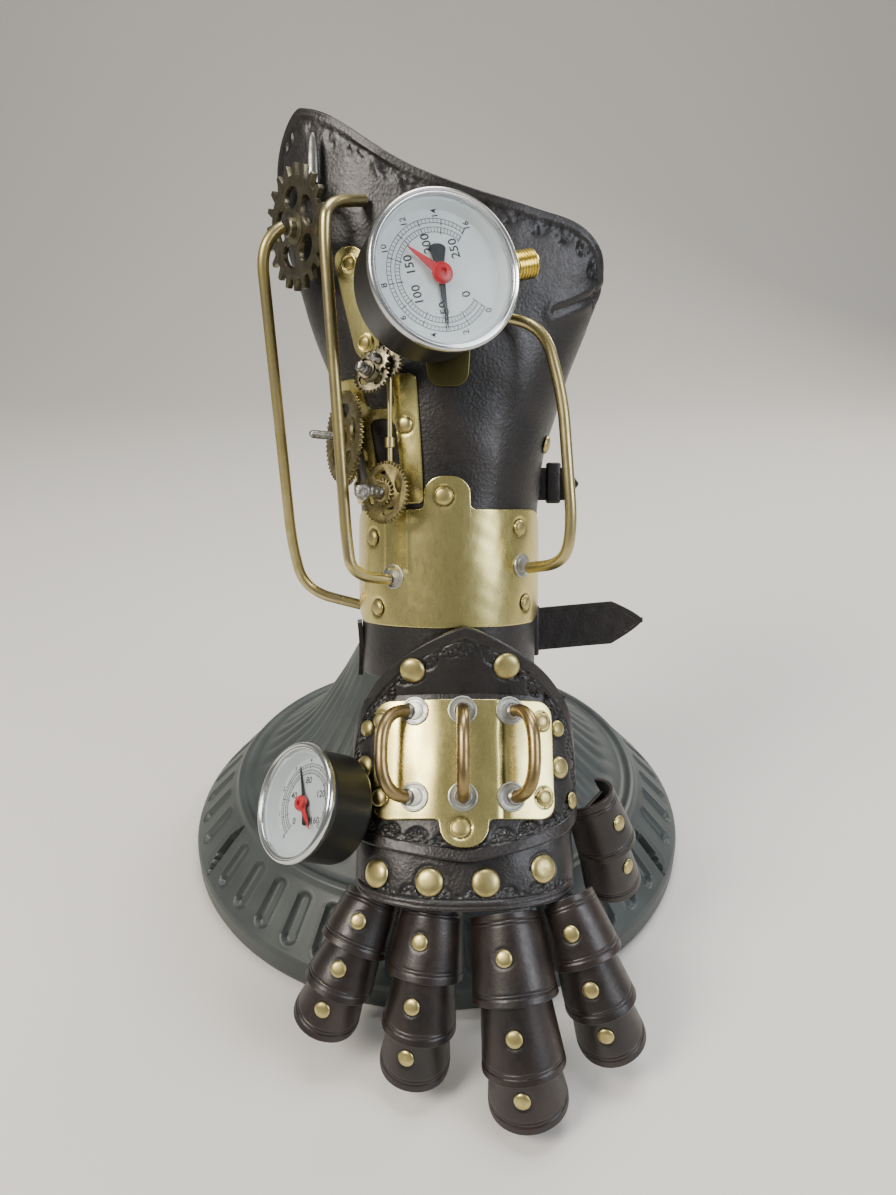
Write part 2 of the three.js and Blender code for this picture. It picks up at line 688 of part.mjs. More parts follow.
const model = new THREE.Group();
addStand(model);
const gauntlet = new THREE.Group();
gauntlet.position.y = -SET_FORWARD;
model.add(gauntlet);
addForearm(gauntlet);
addHand(gauntlet);
DIGITS.forEach((digit) => addDigit(gauntlet, digit));

export default model;
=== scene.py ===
"""Right-hand armoured gauntlet of tooled leather and brass, on a moulded display stand.

The classes hold their sizes in millimetres and each limb has its own leaning frame: its local -Y faces
out of the back of the arm or hand and its local -Z runs towards the fingertips. A finished mesh is in
metres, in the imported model's frame, with its object at the origin.
"""

import logging
import math
from collections.abc import Callable, Iterator, Sequence
from contextlib import contextmanager
from dataclasses import dataclass, field, replace
from enum import Enum

import bpy
import numpy as np
from mathutils import Matrix, Vector


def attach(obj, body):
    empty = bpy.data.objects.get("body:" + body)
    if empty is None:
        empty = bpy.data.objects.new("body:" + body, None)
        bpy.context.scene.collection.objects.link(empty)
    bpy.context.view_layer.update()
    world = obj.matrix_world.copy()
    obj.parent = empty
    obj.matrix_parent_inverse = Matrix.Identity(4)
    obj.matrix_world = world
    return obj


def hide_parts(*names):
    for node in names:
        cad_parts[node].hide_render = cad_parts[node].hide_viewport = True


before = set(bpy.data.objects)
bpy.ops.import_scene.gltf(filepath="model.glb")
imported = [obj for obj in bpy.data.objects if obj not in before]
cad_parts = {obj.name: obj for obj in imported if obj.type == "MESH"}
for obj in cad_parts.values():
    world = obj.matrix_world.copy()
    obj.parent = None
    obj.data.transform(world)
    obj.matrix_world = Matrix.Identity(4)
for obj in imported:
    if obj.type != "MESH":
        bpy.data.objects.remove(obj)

LOG = logging.getLogger("gauntlet")
METRES = 0.001
ROOT = "root"

Piece = bpy.types.Object
Tree = bpy.types.NodeTree
Node = bpy.types.Node
Socket = bpy.types.NodeSocket
Array = np.ndarray
Pair = tuple[Array, Array]
Surface = Callable[[Array, Array], Array]
Outline = Callable[[Array, Array], Pair]
Seats = Sequence[tuple[Matrix, float, float]]


class Slot(Enum):
    """The record's material slots."""

    STAND = "stand_plastic"
    ARMOUR = "armour_leather"
    LAME = "plate_leather"
    BRASS = "sheet_brass"
    TUBE = "tube_brass"
    HANDLE = "handle_copper"
    BRONZE = "gear_bronze"
    STEEL = "bright_steel"
    BLACK = "gauge_black"
    DIAL = "dial_white"
    RED = "pointer_red"
    GLASS = "gauge_glass"


# ---- Finishes -----------------------------------------------------------------------------------------


def linear(code: str) -> tuple[float, float, float, float]:
    """Turns an sRGB hex code into a linear colour.

    Args:
        code: Six hex digits after a hash.

    Returns:
        Red, green, blue and a full alpha.
    """
    coded = [int(code[place:place + 2], 16) / 255 for place in (1, 3, 5)]
    red, green, blue = (c / 12.92 if c <= 0.04045 else ((c + 0.055) / 1.055) ** 2.4 for c in coded)
    return red, green, blue, 1.0


def per(size: float) -> float:
    """Returns the pattern scale that repeats about once in a size in millimetres."""
    return 1000 / size


def add(tree: Tree, kind: str, inputs: dict | None = None, **settings: object) -> Node:
    """Adds a node with its settings and links.

    Args:
        tree: Node tree of the material.
        kind: Node type without its first word.
        inputs: A value or a socket for each named or numbered input.
        settings: Properties of the node.

    Returns:
        The new node.
    """
    node = tree.nodes.new("ShaderNode" + kind)
    for name, value in settings.items():
        setattr(node, name, value)
    for key, value in (inputs or {}).items():
        if isinstance(value, Socket):
            tree.links.new(value, node.inputs[key])
        else:
            node.inputs[key].default_value = value
    return node


@dataclass(frozen=True)
class Finish:
    """A surface that one shader dresses; each kind of finish fills in its own nodes."""

    name: str

    def material(self) -> bpy.types.Material:
        """Returns the finish's material, made once."""
        made = bpy.data.materials.get(self.name)
        if made:
            return made
        made = bpy.data.materials.new(self.name)
        made.use_nodes = True
        shader = made.node_tree.nodes["Principled BSDF"]
        place = add(made.node_tree, "TexCoord").outputs["Object"]
        self.dress(made.node_tree, shader, place)
        return made

    def dress(self, tree: Tree, shader: Node, place: Socket) -> None:
        """Fills in the shader; each finish has its own way.

        Args:
            tree: Node tree of the material.
            shader: Its principled shader.
            place: Coordinates on the piece, in metres.
        """
        raise NotImplementedError

    def clouded(self, tree: Tree, cloud: Node, *stops: tuple[float, str]) -> Socket:
        """Runs a colour through several tones as a cloudy pattern rises.

        Args:
            tree: Node tree of the material.
            cloud: The pattern.
            stops: Each tone's place from 0 to 1 and its hex code, the last one second.

        Returns:
            The colour.
        """
        ramp = add(tree, "ValToRGB", {"Fac": cloud.outputs["Fac"]})
        tones = ramp.color_ramp.elements
        for index, (position, code) in enumerate(stops):
            tone = tones[index] if index < 2 else tones.new(position)
            tone.position = position
            tone.color = linear(code)
        return ramp.outputs["Color"]

    def varied(self, tree: Tree, pattern: Node, low: float, high: float,
               edges: tuple[float, float] = (0.3, 0.7)) -> Socket:
        """Returns a value that goes from low to high as a pattern goes from edge to edge."""
        spread = add(tree, "MapRange", {"Value": pattern.outputs["Fac"], "From Min": edges[0],
                                        "From Max": edges[1], "To Min": low, "To Max": high})
        return spread.outputs["Result"]


@dataclass(frozen=True)
class DyedLeather(Finish):
    """Vegetable-tanned cowhide, dyed nearly black and waxed.

    The dye lies unevenly over a brown hide, collects in pressed lines, and the wax gives a soft sheen
    that the grain breaks up.
    """

    deep: str = "#030303"
    dye: str = "#151211"
    hide: str = "#1f1916"
    grain: float = 1.2
    relief: float = 0.0002
    pores: float = 0.4
    wax: float = 0.36

    def dress(self, tree: Tree, shader: Node, place: Socket) -> None:
        """Dyes the hide and gives it its grain."""
        cloud = add(tree, "TexNoise", {"Vector": place, "Scale": per(22), "Detail": 5, "Roughness": 0.6})
        tones = self.clouded(tree, cloud, (0.36, self.dye), (0.72, self.hide))
        pressed = add(tree, "Attribute", attribute_name="pressed").outputs["Fac"]
        dyed = add(tree, "Mix", {"Factor": pressed, "A": tones, "B": linear(self.deep)}, data_type="RGBA")
        tree.links.new(dyed.outputs["Result"], shader.inputs["Base Color"])

        fine = add(tree, "TexNoise", {"Vector": place, "Scale": per(3.5), "Detail": 6, "Roughness": 0.65})
        tree.links.new(self.varied(tree, fine, self.wax, self.wax + 0.16), shader.inputs["Roughness"])

        bent = add(tree, "Mix", {"Factor": 0.0012, "A": place, "B": fine.outputs["Color"]},
                   data_type="VECTOR")
        cells = add(tree, "TexVoronoi", {"Vector": bent.outputs[1], "Scale": per(self.grain)},
                    feature="SMOOTH_F1")
        creases = add(tree, "Bump", {"Height": cells.outputs["Distance"], "Strength": 0.8,
                                     "Distance": self.relief})
        pits = add(tree, "TexNoise", {"Vector": place, "Scale": per(self.pores), "Detail": 2})
        pitted = add(tree, "Bump", {"Height": pits.outputs["Fac"], "Strength": 0.4, "Distance": 0.00008,
                                    "Normal": creases.outputs["Normal"]})
        tree.links.new(pitted.outputs["Normal"], shader.inputs["Normal"])
        shader.inputs["Specular IOR Level"].default_value = 0.5
        shader.inputs["Coat Weight"].default_value = 0.12
        shader.inputs["Coat Roughness"].default_value = 0.3


@dataclass(frozen=True)
class RubbedBrass(Finish):
    """Rolled brass sheet, beaten by hand and rubbed with a polishing cloth.

    The rubbing leaves swirls of fine scratches, a thin brown tarnish stays in patches, and grime sits in
    what is pressed in. Real scratches are finer; these are as wide as they have to be to show.
    """

    bright: str = "#ded28f"
    warm: str = "#d2c57f"
    tarnish: str = "#bdae6c"
    grime: str = "#4a4225"
    rough: float = 0.24

    def dress(self, tree: Tree, shader: Node, place: Socket) -> None:
        """Colours the brass and scratches it."""
        cloud = add(tree, "TexNoise", {"Vector": place, "Scale": per(30), "Detail": 6, "Roughness": 0.62,
                                       "Distortion": 0.6})
        tones = self.clouded(tree, cloud, (0.24, self.tarnish), (0.72, self.bright), (0.42, self.warm))
        pressed = add(tree, "Attribute", attribute_name="pressed").outputs["Fac"]
        caught = add(tree, "MapRange", {"Value": pressed, "From Min": 0.4, "From Max": 1.0, "To Max": 0.85})
        grimy = add(tree, "Mix", {"Factor": caught.outputs["Result"], "A": tones, "B": linear(self.grime)},
                    data_type="RGBA")
        tree.links.new(grimy.outputs["Result"], shader.inputs["Base Color"])

        strokes = add(tree, "Mapping", {"Vector": place, "Scale": (1, 0.6, 0.25)})
        swirl = add(tree, "TexNoise", {"Vector": strokes.outputs["Vector"], "Scale": per(1.6), "Detail": 7,
                                       "Roughness": 0.7, "Distortion": 0.8})
        tree.links.new(self.varied(tree, swirl, self.rough, self.rough + 0.07), shader.inputs["Roughness"])
        scratches = add(tree, "Bump", {"Height": swirl.outputs["Fac"], "Strength": 0.2, "Distance": 0.00002})
        tree.links.new(scratches.outputs["Normal"], shader.inputs["Normal"])
        shader.inputs["Metallic"].default_value = 1


@dataclass(frozen=True)
class AgedMetal(Finish):
    """Drawn, cast or milled metal that has browned with age.

    Handling keeps the high places bright while a dull bloom spreads in spots.
    """

    bright: str
    aged: str
    rough: float = 0.3
    spots: float = 6.0
    pits: float = 0.00006

    def dress(self, tree: Tree, shader: Node, place: Socket) -> None:
        """Ages the metal in spots."""
        cloud = add(tree, "TexNoise", {"Vector": place, "Scale": per(self.spots), "Detail": 7,
                                       "Roughness": 0.68})
        tones = self.clouded(tree, cloud, (0.36, self.aged), (0.64, self.bright))
        tree.links.new(tones, shader.inputs["Base Color"])
        dull = self.varied(tree, cloud, self.rough + 0.18, self.rough, (0.35, 0.65))
        tree.links.new(dull, shader.inputs["Roughness"])
        skin = add(tree, "TexNoise", {"Vector": place, "Scale": per(self.spots / 5), "Detail": 4})
        pitted = add(tree, "Bump", {"Height": skin.outputs["Fac"], "Strength": 0.5, "Distance": self.pits})
        tree.links.new(pitted.outputs["Normal"], shader.inputs["Normal"])
        shader.inputs["Metallic"].default_value = 1


@dataclass(frozen=True)
class Moulded(Finish):
    """Injection-moulded plastic or a sprayed coat of enamel.

    Its colour is even; only its gloss and a faint moulded grain vary.
    """

    colour: str
    worn: str
    rough: float = 0.45
    grain: float = 0.8
    relief: float = 0.00003
    coat: float = 0.0

    def dress(self, tree: Tree, shader: Node, place: Socket) -> None:
        """Gives the plastic its grain and its dust."""
        cloud = add(tree, "TexNoise", {"Vector": place, "Scale": per(35), "Detail": 5, "Roughness": 0.6})
        tones = self.clouded(tree, cloud, (0.4, self.colour), (0.75, self.worn))
        tree.links.new(tones, shader.inputs["Base Color"])
        tree.links.new(self.varied(tree, cloud, self.rough, self.rough + 0.1), shader.inputs["Roughness"])
        skin = add(tree, "TexNoise", {"Vector": place, "Scale": per(self.grain), "Detail": 3})
        grained = add(tree, "Bump", {"Height": skin.outputs["Fac"], "Strength": 0.5,
                                     "Distance": self.relief})
        tree.links.new(grained.outputs["Normal"], shader.inputs["Normal"])
        shader.inputs["Coat Weight"].default_value = self.coat
        shader.inputs["Coat Roughness"].default_value = 0.08


@dataclass(frozen=True)
class ClearGlass(Finish):
    """Pressed gauge glass, clear, with the faintest waviness in its reflections."""

    def dress(self, tree: Tree, shader: Node, place: Socket) -> None:
        """Lets the light through."""
        wave = add(tree, "TexNoise", {"Vector": place, "Scale": per(18), "Detail": 1})
        waved = add(tree, "Bump", {"Height": wave.outputs["Fac"], "Strength": 0.1, "Distance": 0.0001})
        tree.links.new(waved.outputs["Normal"], shader.inputs["Normal"])
        shader.inputs["Base Color"].default_value = linear("#f7fbfb")
        shader.inputs["Roughness"].default_value = 0.02
        shader.inputs["IOR"].default_value = 1.12
        shader.inputs["Transmission Weight"].default_value = 1


# Waxed cowhide, black to the eye, whose grain breaks a soft sheen; the lames are polished and browner.
ARMOUR_LEATHER = DyedLeather("dyed_armour_leather")
LAME_LEATHER = DyedLeather("polished_lame_leather", dye="#15100e", hide="#2a1d17", relief=0.00006,
                           wax=0.33)
# Pale yellow sheet with broad soft reflections; the gauge's strip is a darker olive copy, painted shade under
# the gauge.
SHEET_BRASS = RubbedBrass("rubbed_sheet_brass")
SHADED_OLIVE_BRASS = RubbedBrass("shaded_olive_sheet_brass", bright="#6d683f", warm="#575233", tarnish="#413d27",
                          rough=0.3)
# Duller rivet heads, champagne tubes, brown handles, and wheels darkened by age.
RIVET_BRASS = AgedMetal("rivet_brass", bright="#c6ba80", aged="#a39561", rough=0.3, spots=5, pits=0.00003)
TUBE_BRASS = AgedMetal("drawn_brass_tube", bright="#bdb083", aged="#a1945f", rough=0.27, spots=16,
                       pits=0.00001)
HANDLE_COPPER = AgedMetal("browned_handle_rod", bright="#a8946a", aged="#84704c", rough=0.26, spots=14,
                          pits=0.00001)
GEAR_BRONZE = AgedMetal("tarnished_clock_brass", bright="#94895f", aged="#60583d", rough=0.36, spots=5,
                        pits=0.00004)
SPROCKET_BRONZE = AgedMetal("greyed_cast_bronze", bright="#7b7560", aged="#4a463a", rough=0.34, spots=6,
                            pits=0.00004)
# Clean metals: fresh yellow threads, mirror-like gauge rings, and greys from satin to lumpy.
THREAD_BRASS = AgedMetal("machined_brass", bright="#ddca78", aged="#c3ae5c", rough=0.2, spots=8,
                         pits=0.00001)
POLISHED_STEEL = AgedMetal("polished_steel", bright="#cfd1d0", aged="#c0c2c1", rough=0.13, spots=40,
                           pits=0.000003)
DULL_STEEL = AgedMetal("brushed_dull_steel", bright="#8f8f89", aged="#63635e", rough=0.3, spots=6,
                       pits=0.00002)
TURNED_ALUMINIUM = AgedMetal("turned_aluminium", bright="#b9bab3", aged="#9c9d96", rough=0.34, spots=4,
                             pits=0.00002)
ROUGH_SOLDER = AgedMetal("rough_solder", bright="#b3b1aa", aged="#6d6a64", rough=0.28, spots=2, pits=0.0002)
# Satin grey-green plastic, satin black enamel, and the flat paints and inks of the dials.
STAND_PLASTIC = Moulded("moulded_stand_plastic", colour="#353b3a", worn="#434a48", rough=0.42, grain=0.9)
CASE_ENAMEL = Moulded("black_case_enamel", colour="#0b0d0d", worn="#121514", rough=0.36, relief=0.00001,
                      coat=0.05)
DIAL_PAINT = Moulded("white_dial_paint", colour="#e6eaeb", worn="#e0e5e6", rough=0.5, relief=0.00001)
DIAL_INK = Moulded("black_dial_ink", colour="#33373b", worn="#3c4044", rough=0.55, relief=0.00001)
POINTER_BLACK = Moulded("black_pointer_enamel", colour="#1c1d1f", worn="#232527", rough=0.4, relief=0.00001)
POINTER_RED = Moulded("red_pointer_enamel", colour="#c81e28", worn="#b81822", rough=0.3, relief=0.00001,
                      coat=0.3)
GAUGE_GLASS = ClearGlass("clear_gauge_glass")


# ---- Bench work ---------------------------------------------------------------------------------------


def clear_selection() -> None:
    """Deselects every object."""
    bpy.ops.object.select_all(action="DESELECT")


def take_up(piece: Piece) -> None:
    """Selects one piece alone and makes it active."""
    clear_selection()
    piece.select_set(True)
    bpy.context.view_layer.objects.active = piece


@contextmanager
def editing(piece: Piece) -> Iterator[None]:
    """Opens a piece in edit mode with all of it selected, and closes it again."""
    take_up(piece)
    bpy.ops.object.mode_set(mode="EDIT")
    bpy.ops.mesh.select_all(action="SELECT")
    yield
    bpy.ops.object.mode_set(mode="OBJECT")


def named(name: str) -> Piece:
    """Names the object that an operator has just added, and its mesh."""
    piece = bpy.context.object
    piece.name = name
    piece.data.name = name
    return piece


def machine(piece: Piece, kind: str, **settings: object) -> None:
    """Adds a modifier and applies it.

    Args:
        piece: The piece to work on.
        kind: Modifier type.
        settings: Its properties.
    """
    take_up(piece)
    step = piece.modifiers.new(kind.lower(), kind)
    for name, value in settings.items():
        setattr(step, name, value)
    bpy.ops.object.modifier_apply(modifier=step.name)


def ease_edges(piece: Piece, width: float, segments: int = 2, angle: float = 32) -> None:
    """Rounds a piece's sharp edges.

    Args:
        piece: The piece, in millimetres.
        width: Width of the rounding.
        segments: Faces across it.
        angle: Edges that turn more than this many degrees are rounded.
    """
    machine(piece, "BEVEL", width=width, segments=segments, limit_method="ANGLE",
            angle_limit=math.radians(angle), use_clamp_overlap=True)


def corners_of(piece: Piece) -> Array:
    """Returns a mesh's points as rows."""
    points = np.zeros(len(piece.data.vertices) * 3, np.float32)
    piece.data.vertices.foreach_get("co", points)
    return points.reshape(-1, 3).astype(float)


def set_corners(piece: Piece, points: Array) -> None:
    """Moves a mesh's points to rows of places."""
    piece.data.vertices.foreach_set("co", points.astype(np.float32).ravel())
    piece.data.update()


def joined(name: str, pieces: Sequence[Piece]) -> Piece:
    """Makes several pieces one mesh with a name."""
    take_up(pieces[0])
    for piece in pieces:
        piece.select_set(True)
    if len(pieces) > 1:
        bpy.ops.object.join()
    return named(name)


def twin(piece: Piece, place: Matrix) -> Piece:
    """Returns a copy with its own mesh, set at a place."""
    copy = piece.copy()
    copy.data = piece.data.copy()
    bpy.context.scene.collection.objects.link(copy)
    copy.data.transform(place)
    return copy


def scrap(piece: Piece) -> None:
    """Throws a pattern or a cutting tool away."""
    bpy.data.objects.remove(piece)


def fit(piece: Piece, place: Matrix, finish: Finish, slot: Slot, *nodes: str,
        smooth: float = 35) -> Piece:
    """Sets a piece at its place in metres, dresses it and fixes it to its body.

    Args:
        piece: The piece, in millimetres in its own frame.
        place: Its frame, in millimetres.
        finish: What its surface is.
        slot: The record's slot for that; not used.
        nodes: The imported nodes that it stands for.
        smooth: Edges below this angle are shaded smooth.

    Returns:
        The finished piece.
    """
    piece.data.transform(Matrix.Scale(METRES, 4) @ place)
    piece.data.materials.clear()
    piece.data.materials.append(finish.material())
    take_up(piece)
    bpy.ops.object.shade_smooth_by_angle(angle=math.radians(smooth))
    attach(piece, ROOT)
    if nodes:
        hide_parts(*nodes)
    LOG.info("%s: %d faces", piece.name, len(piece.data.polygons))
    return piece


def leaning(origin: Sequence[float], lean: float) -> Matrix:
    """Returns a frame that leans back from upright about a line along X."""
    return Matrix.Translation(origin) @ Matrix.Rotation(math.radians(-lean), 4, "X")


def aimed(place: Sequence[float], direction: Sequence[float], roll: float = 0) -> Matrix:
    """Returns a frame whose Z points along a direction, with its Y as far up as it goes.

    Args:
        place: Its origin.
        direction: Where its Z points.
        roll: Turn about that Z, in degrees.

    Returns:
        The frame.
    """
    z = Vector(direction).normalized()
    x = Vector((0, 0, 1)).cross(z)
    x = x.normalized() if x.length > 1e-6 else Vector((1, 0, 0))
    y = z.cross(x)
    turn = Matrix((x, y, z)).transposed().to_4x4()
    return Matrix.Translation(place) @ turn @ Matrix.Rotation(math.radians(roll), 4, "Z")


def smoothstep(value: Array, low: float, high: float) -> Array:
    """Returns an eased 0 to 1 as a value goes from low to high."""
    share = np.clip((value - low) / (high - low), 0, 1)
    return share * share * (3 - 2 * share)


def groove(offset: Array, half_width: float) -> Array:
    """Returns 1 on a line and a smooth fall to 0 beside it."""
    return np.exp(-((offset / half_width) ** 2))


def shares(length: float, step: float, dense: Sequence[float] = ()) -> Array:
    """Shares of a length for rows of points, closer at both ends and at some places.

    Args:
        length: The length, in millimetres.
        step: Usual distance between rows.
        dense: Places where rows crowd, in millimetres from the start.

    Returns:
        Rising numbers from 0 to 1.
    """
    end_crowd, end_reach = 4.5, 0.9
    dense_crowd, dense_reach = 4, 1.3
    way = np.linspace(0, length, 3001)
    crowd = 1 + end_crowd * np.exp(-np.minimum(way, length - way) / end_reach)
    for centre in dense:
        crowd += dense_crowd * np.exp(-(((way - centre) / dense_reach) ** 2))
    total = np.concatenate([[0], np.cumsum((crowd[1:] + crowd[:-1]) / 2 * np.diff(way))])
    count = max(2, round(total[-1] / step))
    return np.interp(np.linspace(0, total[-1], count + 1), total, way) / length


def flowing(points: Sequence[Sequence[float]], count: int) -> Array:
    """Returns points evenly along a smooth line through a few given ones."""
    given = np.array(points, float)
    ends = np.vstack([2 * given[0] - given[1], given, 2 * given[-1] - given[-2]])
    rows = []
    for start in range(len(given) - 1):
        p, q, r, s = ends[start:start + 4]
        t = np.linspace(0, 1, 40, endpoint=False)[:, None]
        rows.append(0.5 * (2 * q + (r - p) * t + (2 * p - 5 * q + 4 * r - s) * t**2
                           + (3 * q - p - 3 * r + s) * t**3))
    line = np.vstack([*rows, given[-1:]])
    way = np.concatenate([[0], np.cumsum(np.linalg.norm(np.diff(line, axis=0), axis=1))])
    stops = np.linspace(0, way[-1], count)
    return np.stack([np.interp(stops, way, line[:, axis]) for axis in range(line.shape[1])], axis=1)


def turned(name: str, profile: Sequence[Sequence[float]], segments: int = 64) -> Piece:
    """Turns a closed profile about Z, as on a lathe.

    Args:
        name: The piece's name.
        profile: Points as radius and height, outer side first or last as it comes.
        segments: Faces round it.

    Returns:
        The turned piece.
    """
    clear_selection()
    bpy.ops.mesh.primitive_circle_add(vertices=len(profile), radius=1)
    piece = named(name)
    set_corners(piece, np.array([[radius, 0, height] for radius, height in profile], float))
    with editing(piece):
        bpy.ops.mesh.spin(steps=segments, angle=2 * math.pi, center=(0, 0, 0), axis=(0, 0, 1))
        bpy.ops.mesh.select_all(action="SELECT")
        bpy.ops.mesh.remove_doubles(threshold=1e-4)
        bpy.ops.mesh.dissolve_degenerate()
        bpy.ops.mesh.select_all(action="SELECT")
        bpy.ops.mesh.normals_make_consistent(inside=False)
    return piece


def stamped(name: str, rim: Array, thickness: float) -> Piece:
    """Stamps a flat plate out of sheet metal.

    Args:
        name: The piece's name.
        rim: Rows of points round its underside.
        thickness: Thickness of the sheet, upwards.

    Returns:
        The plate.
    """
    clear_selection()
    bpy.ops.mesh.primitive_circle_add(vertices=len(rim), fill_type="NGON")
    piece = named(name)
    set_corners(piece, rim)
    with editing(piece):
        bpy.ops.mesh.extrude_region_move(TRANSFORM_OT_translate={"value": (0, 0, thickness)})
        bpy.ops.mesh.select_all(action="SELECT")
        bpy.ops.mesh.normals_make_consistent(inside=False)
    return piece


def bent_route(points: Sequence[Sequence[float]], bend: float, fine: int = 9) -> Array:
    """Returns the points of a wire that is bent round the corners of a route.

    Args:
        points: The route's corners.
        bend: Distance from a corner at which its bend starts.
        fine: Points in each bend.

    Returns:
        Rows of points.
    """
    route = [Vector(point) for point in points]
    line = [route[0]]
    start = route[0]
    for corner, after in zip(route[1:-1], route[2:]):
        free = 0.95 if after is route[-1] else 0.49
        p = corner.lerp(start, min(0.95, bend / (corner - start).length))
        q = corner.lerp(after, min(free, bend / (corner - after).length))
        for t in np.linspace(0, 1, fine):
            line.append(p.lerp(corner, t).lerp(corner.lerp(q, t), t))
        start = q
    line.append(route[-1])
    return np.array(line)


def wire(name: str, line: Array, radius: float, sides: int = 5, closed: bool = False) -> Piece:
    """Draws a round wire or tube along a line.

    Args:
        name: The piece's name.
        line: Rows of points along its middle.
        radius: Radius of the wire.
        sides: Fineness of its roundness.
        closed: Whether its ends meet.

    Returns:
        The wire as a mesh.
    """
    clear_selection()
    bpy.ops.curve.primitive_nurbs_path_add()
    curve = bpy.context.object.data
    curve.splines.clear()
    spline = curve.splines.new("POLY")
    spline.points.add(len(line) - 1)
    spline.points.foreach_set("co", np.hstack([line, np.ones((len(line), 1))]).ravel())
    spline.use_cyclic_u = closed
    curve.bevel_depth = radius
    curve.bevel_resolution = sides
    curve.use_fill_caps = not closed
    bpy.ops.object.convert(target="MESH")
    return named(name)


def cut(piece: Piece, tools: Sequence[Piece]) -> None:
    """Cuts tools out of a piece and throws them away."""
    for tool in tools:
        machine(piece, "BOOLEAN", operation="DIFFERENCE", object=tool, solver="EXACT")
        scrap(tool)


# ---- Sheets -------------------------------------------------------------------------------------------


def rim_measure(points: Array, line: Array) -> Pair:
    """Measures points against the closed line of a sheet's rim.

    Args:
        points: Rows of points.
        line: Rows of points round the rim.

    Returns:
        Each point's distance to the rim, and how far round the rim its nearest place is.
    """
    edge = np.roll(line, -1, axis=0) - line
    length = np.linalg.norm(edge, axis=1)
    kept = length > 1e-5
    line, edge, length = line[kept], edge[kept], length[kept]
    mileage = np.concatenate([[0], np.cumsum(length)[:-1]])
    distance, along = np.zeros(len(points)), np.zeros(len(points))
    batch = 1500
    for start in range(0, len(points), batch):
        offset = points[start:start + batch, None] - line
        share = np.clip((offset * edge).sum(2) / length**2, 0, 1)
        gap = np.linalg.norm(offset - share[..., None] * edge, axis=2)
        nearest = gap.argmin(1)
        rows = np.arange(len(gap))
        distance[start:start + batch] = gap[rows, nearest]
        along[start:start + batch] = mileage[nearest] + share[rows, nearest] * length[nearest]
    return distance, along


@dataclass
class Patch:
    """What a relief knows about the points of a sheet's outer face, in millimetres.

    Attributes:
        x: First coordinate on the surface, often an angle in degrees.
        z: Height on the surface.
        points: Places in the limb's frame.
        rim: Distance to the rim.
        along: Way round the rim.
    """

    x: Array
    z: Array
    points: Array
    rim: Array
    along: Array

    def beside(self, spot: Sequence[float]) -> Array:
        """Returns the distance of each point to a place in the limb's frame."""
        return np.linalg.norm(self.points - np.array(spot, float), axis=1)


Relief = Callable[[Patch], Array]


@dataclass
class Sheet:
    """A wall of even thickness on a curved surface, with a relief pressed into its outer face.

    Attributes:
        surface: Turns the two surface coordinates into points.
        outline: Turns shares across and up into surface coordinates.
        width: Rough width, which sets the number of columns.
        height: Rough height, which sets the number of rows.
        thickness: Thickness of the wall.
        lift: Gap between the surface and the wall.
        step: Distance between columns.
        row_step: Distance between rows, if it isn't the same.
        dense: Places across where columns crowd.
        rounding: Radius of the rim's outer edge.
        relief: Height added at each point of the outer face.
    """

    surface: Surface
    outline: Outline
    width: float
    height: float
    thickness: float
    lift: float = 0
    step: float = 1
    row_step: float = 0
    dense: Sequence[float] = ()
    rounding: float = 0.7
    relief: Relief | None = None

    def outward(self, x: Array, z: Array) -> Array:
        """Returns the unit direction out of the surface at each point."""
        near = 0.02
        across = self.surface(x + near, z) - self.surface(x - near, z)
        up = self.surface(x, z + near) - self.surface(x, z - near)
        out = np.cross(across, up)
        return out / np.linalg.norm(out, axis=-1, keepdims=True)

    def seat(self, x: float, z: float, height: float = 0) -> Matrix:
        """Returns a frame on the outer face with its Z pointing out.

        Args:
            x: First surface coordinate.
            z: Second surface coordinate.
            height: Distance above the face.

        Returns:
            The frame.
        """
        place = [np.array([x], float), np.array([z], float)]
        out = self.outward(*place)[0]
        spot = self.surface(*place)[0] + out * (self.lift + self.thickness + height)
        return aimed(spot, out)

    def build(self, name: str) -> Piece:
        """Returns the sheet as a closed mesh in the limb's frame."""
        a = shares(self.width, self.step, self.dense)
        b = shares(self.height, self.row_step or self.step)
        clear_selection()
        bpy.ops.mesh.primitive_grid_add(x_subdivisions=len(a) - 1, y_subdivisions=len(b) - 1, size=1)
        piece = named(name)
        flat = corners_of(piece)
        column = np.rint((flat[:, 0] + 0.5) * (len(a) - 1)).astype(int)
        row = np.rint((flat[:, 1] + 0.5) * (len(b) - 1)).astype(int)
        x, z = self.outline(a[column], b[row])
        out = self.outward(x, z)
        points = self.surface(x, z) + out * (self.lift + self.thickness)
        set_corners(piece, points)
        machine(piece, "SOLIDIFY", thickness=self.thickness, offset=-1)

        order = np.full((len(b), len(a)), -1)
        order[row, column] = np.arange(len(points))
        loop = np.concatenate([order[0], order[1:, -1], order[-1, -2::-1], order[-2:0:-1, 0]])
        rim, along = rim_measure(points, points[loop])
        patch = Patch(x, z, points, rim, along)
        inside = np.clip(self.rounding - rim, 0, self.rounding)
        press = self.relief(patch) if self.relief else np.zeros(len(points))
        height = press - (self.rounding - np.sqrt(self.rounding**2 - inside**2))
        whole = corners_of(piece)
        whole[:len(points)] += out * height[:, None]
        set_corners(piece, whole)
        pressed = piece.data.attributes.new("pressed", "FLOAT", "POINT")
        deepest = 0.5
        depth = np.zeros(len(whole), np.float32)
        depth[:len(points)] = np.clip(-press / deepest, 0, 1)
        pressed.data.foreach_set("value", depth)
        return piece


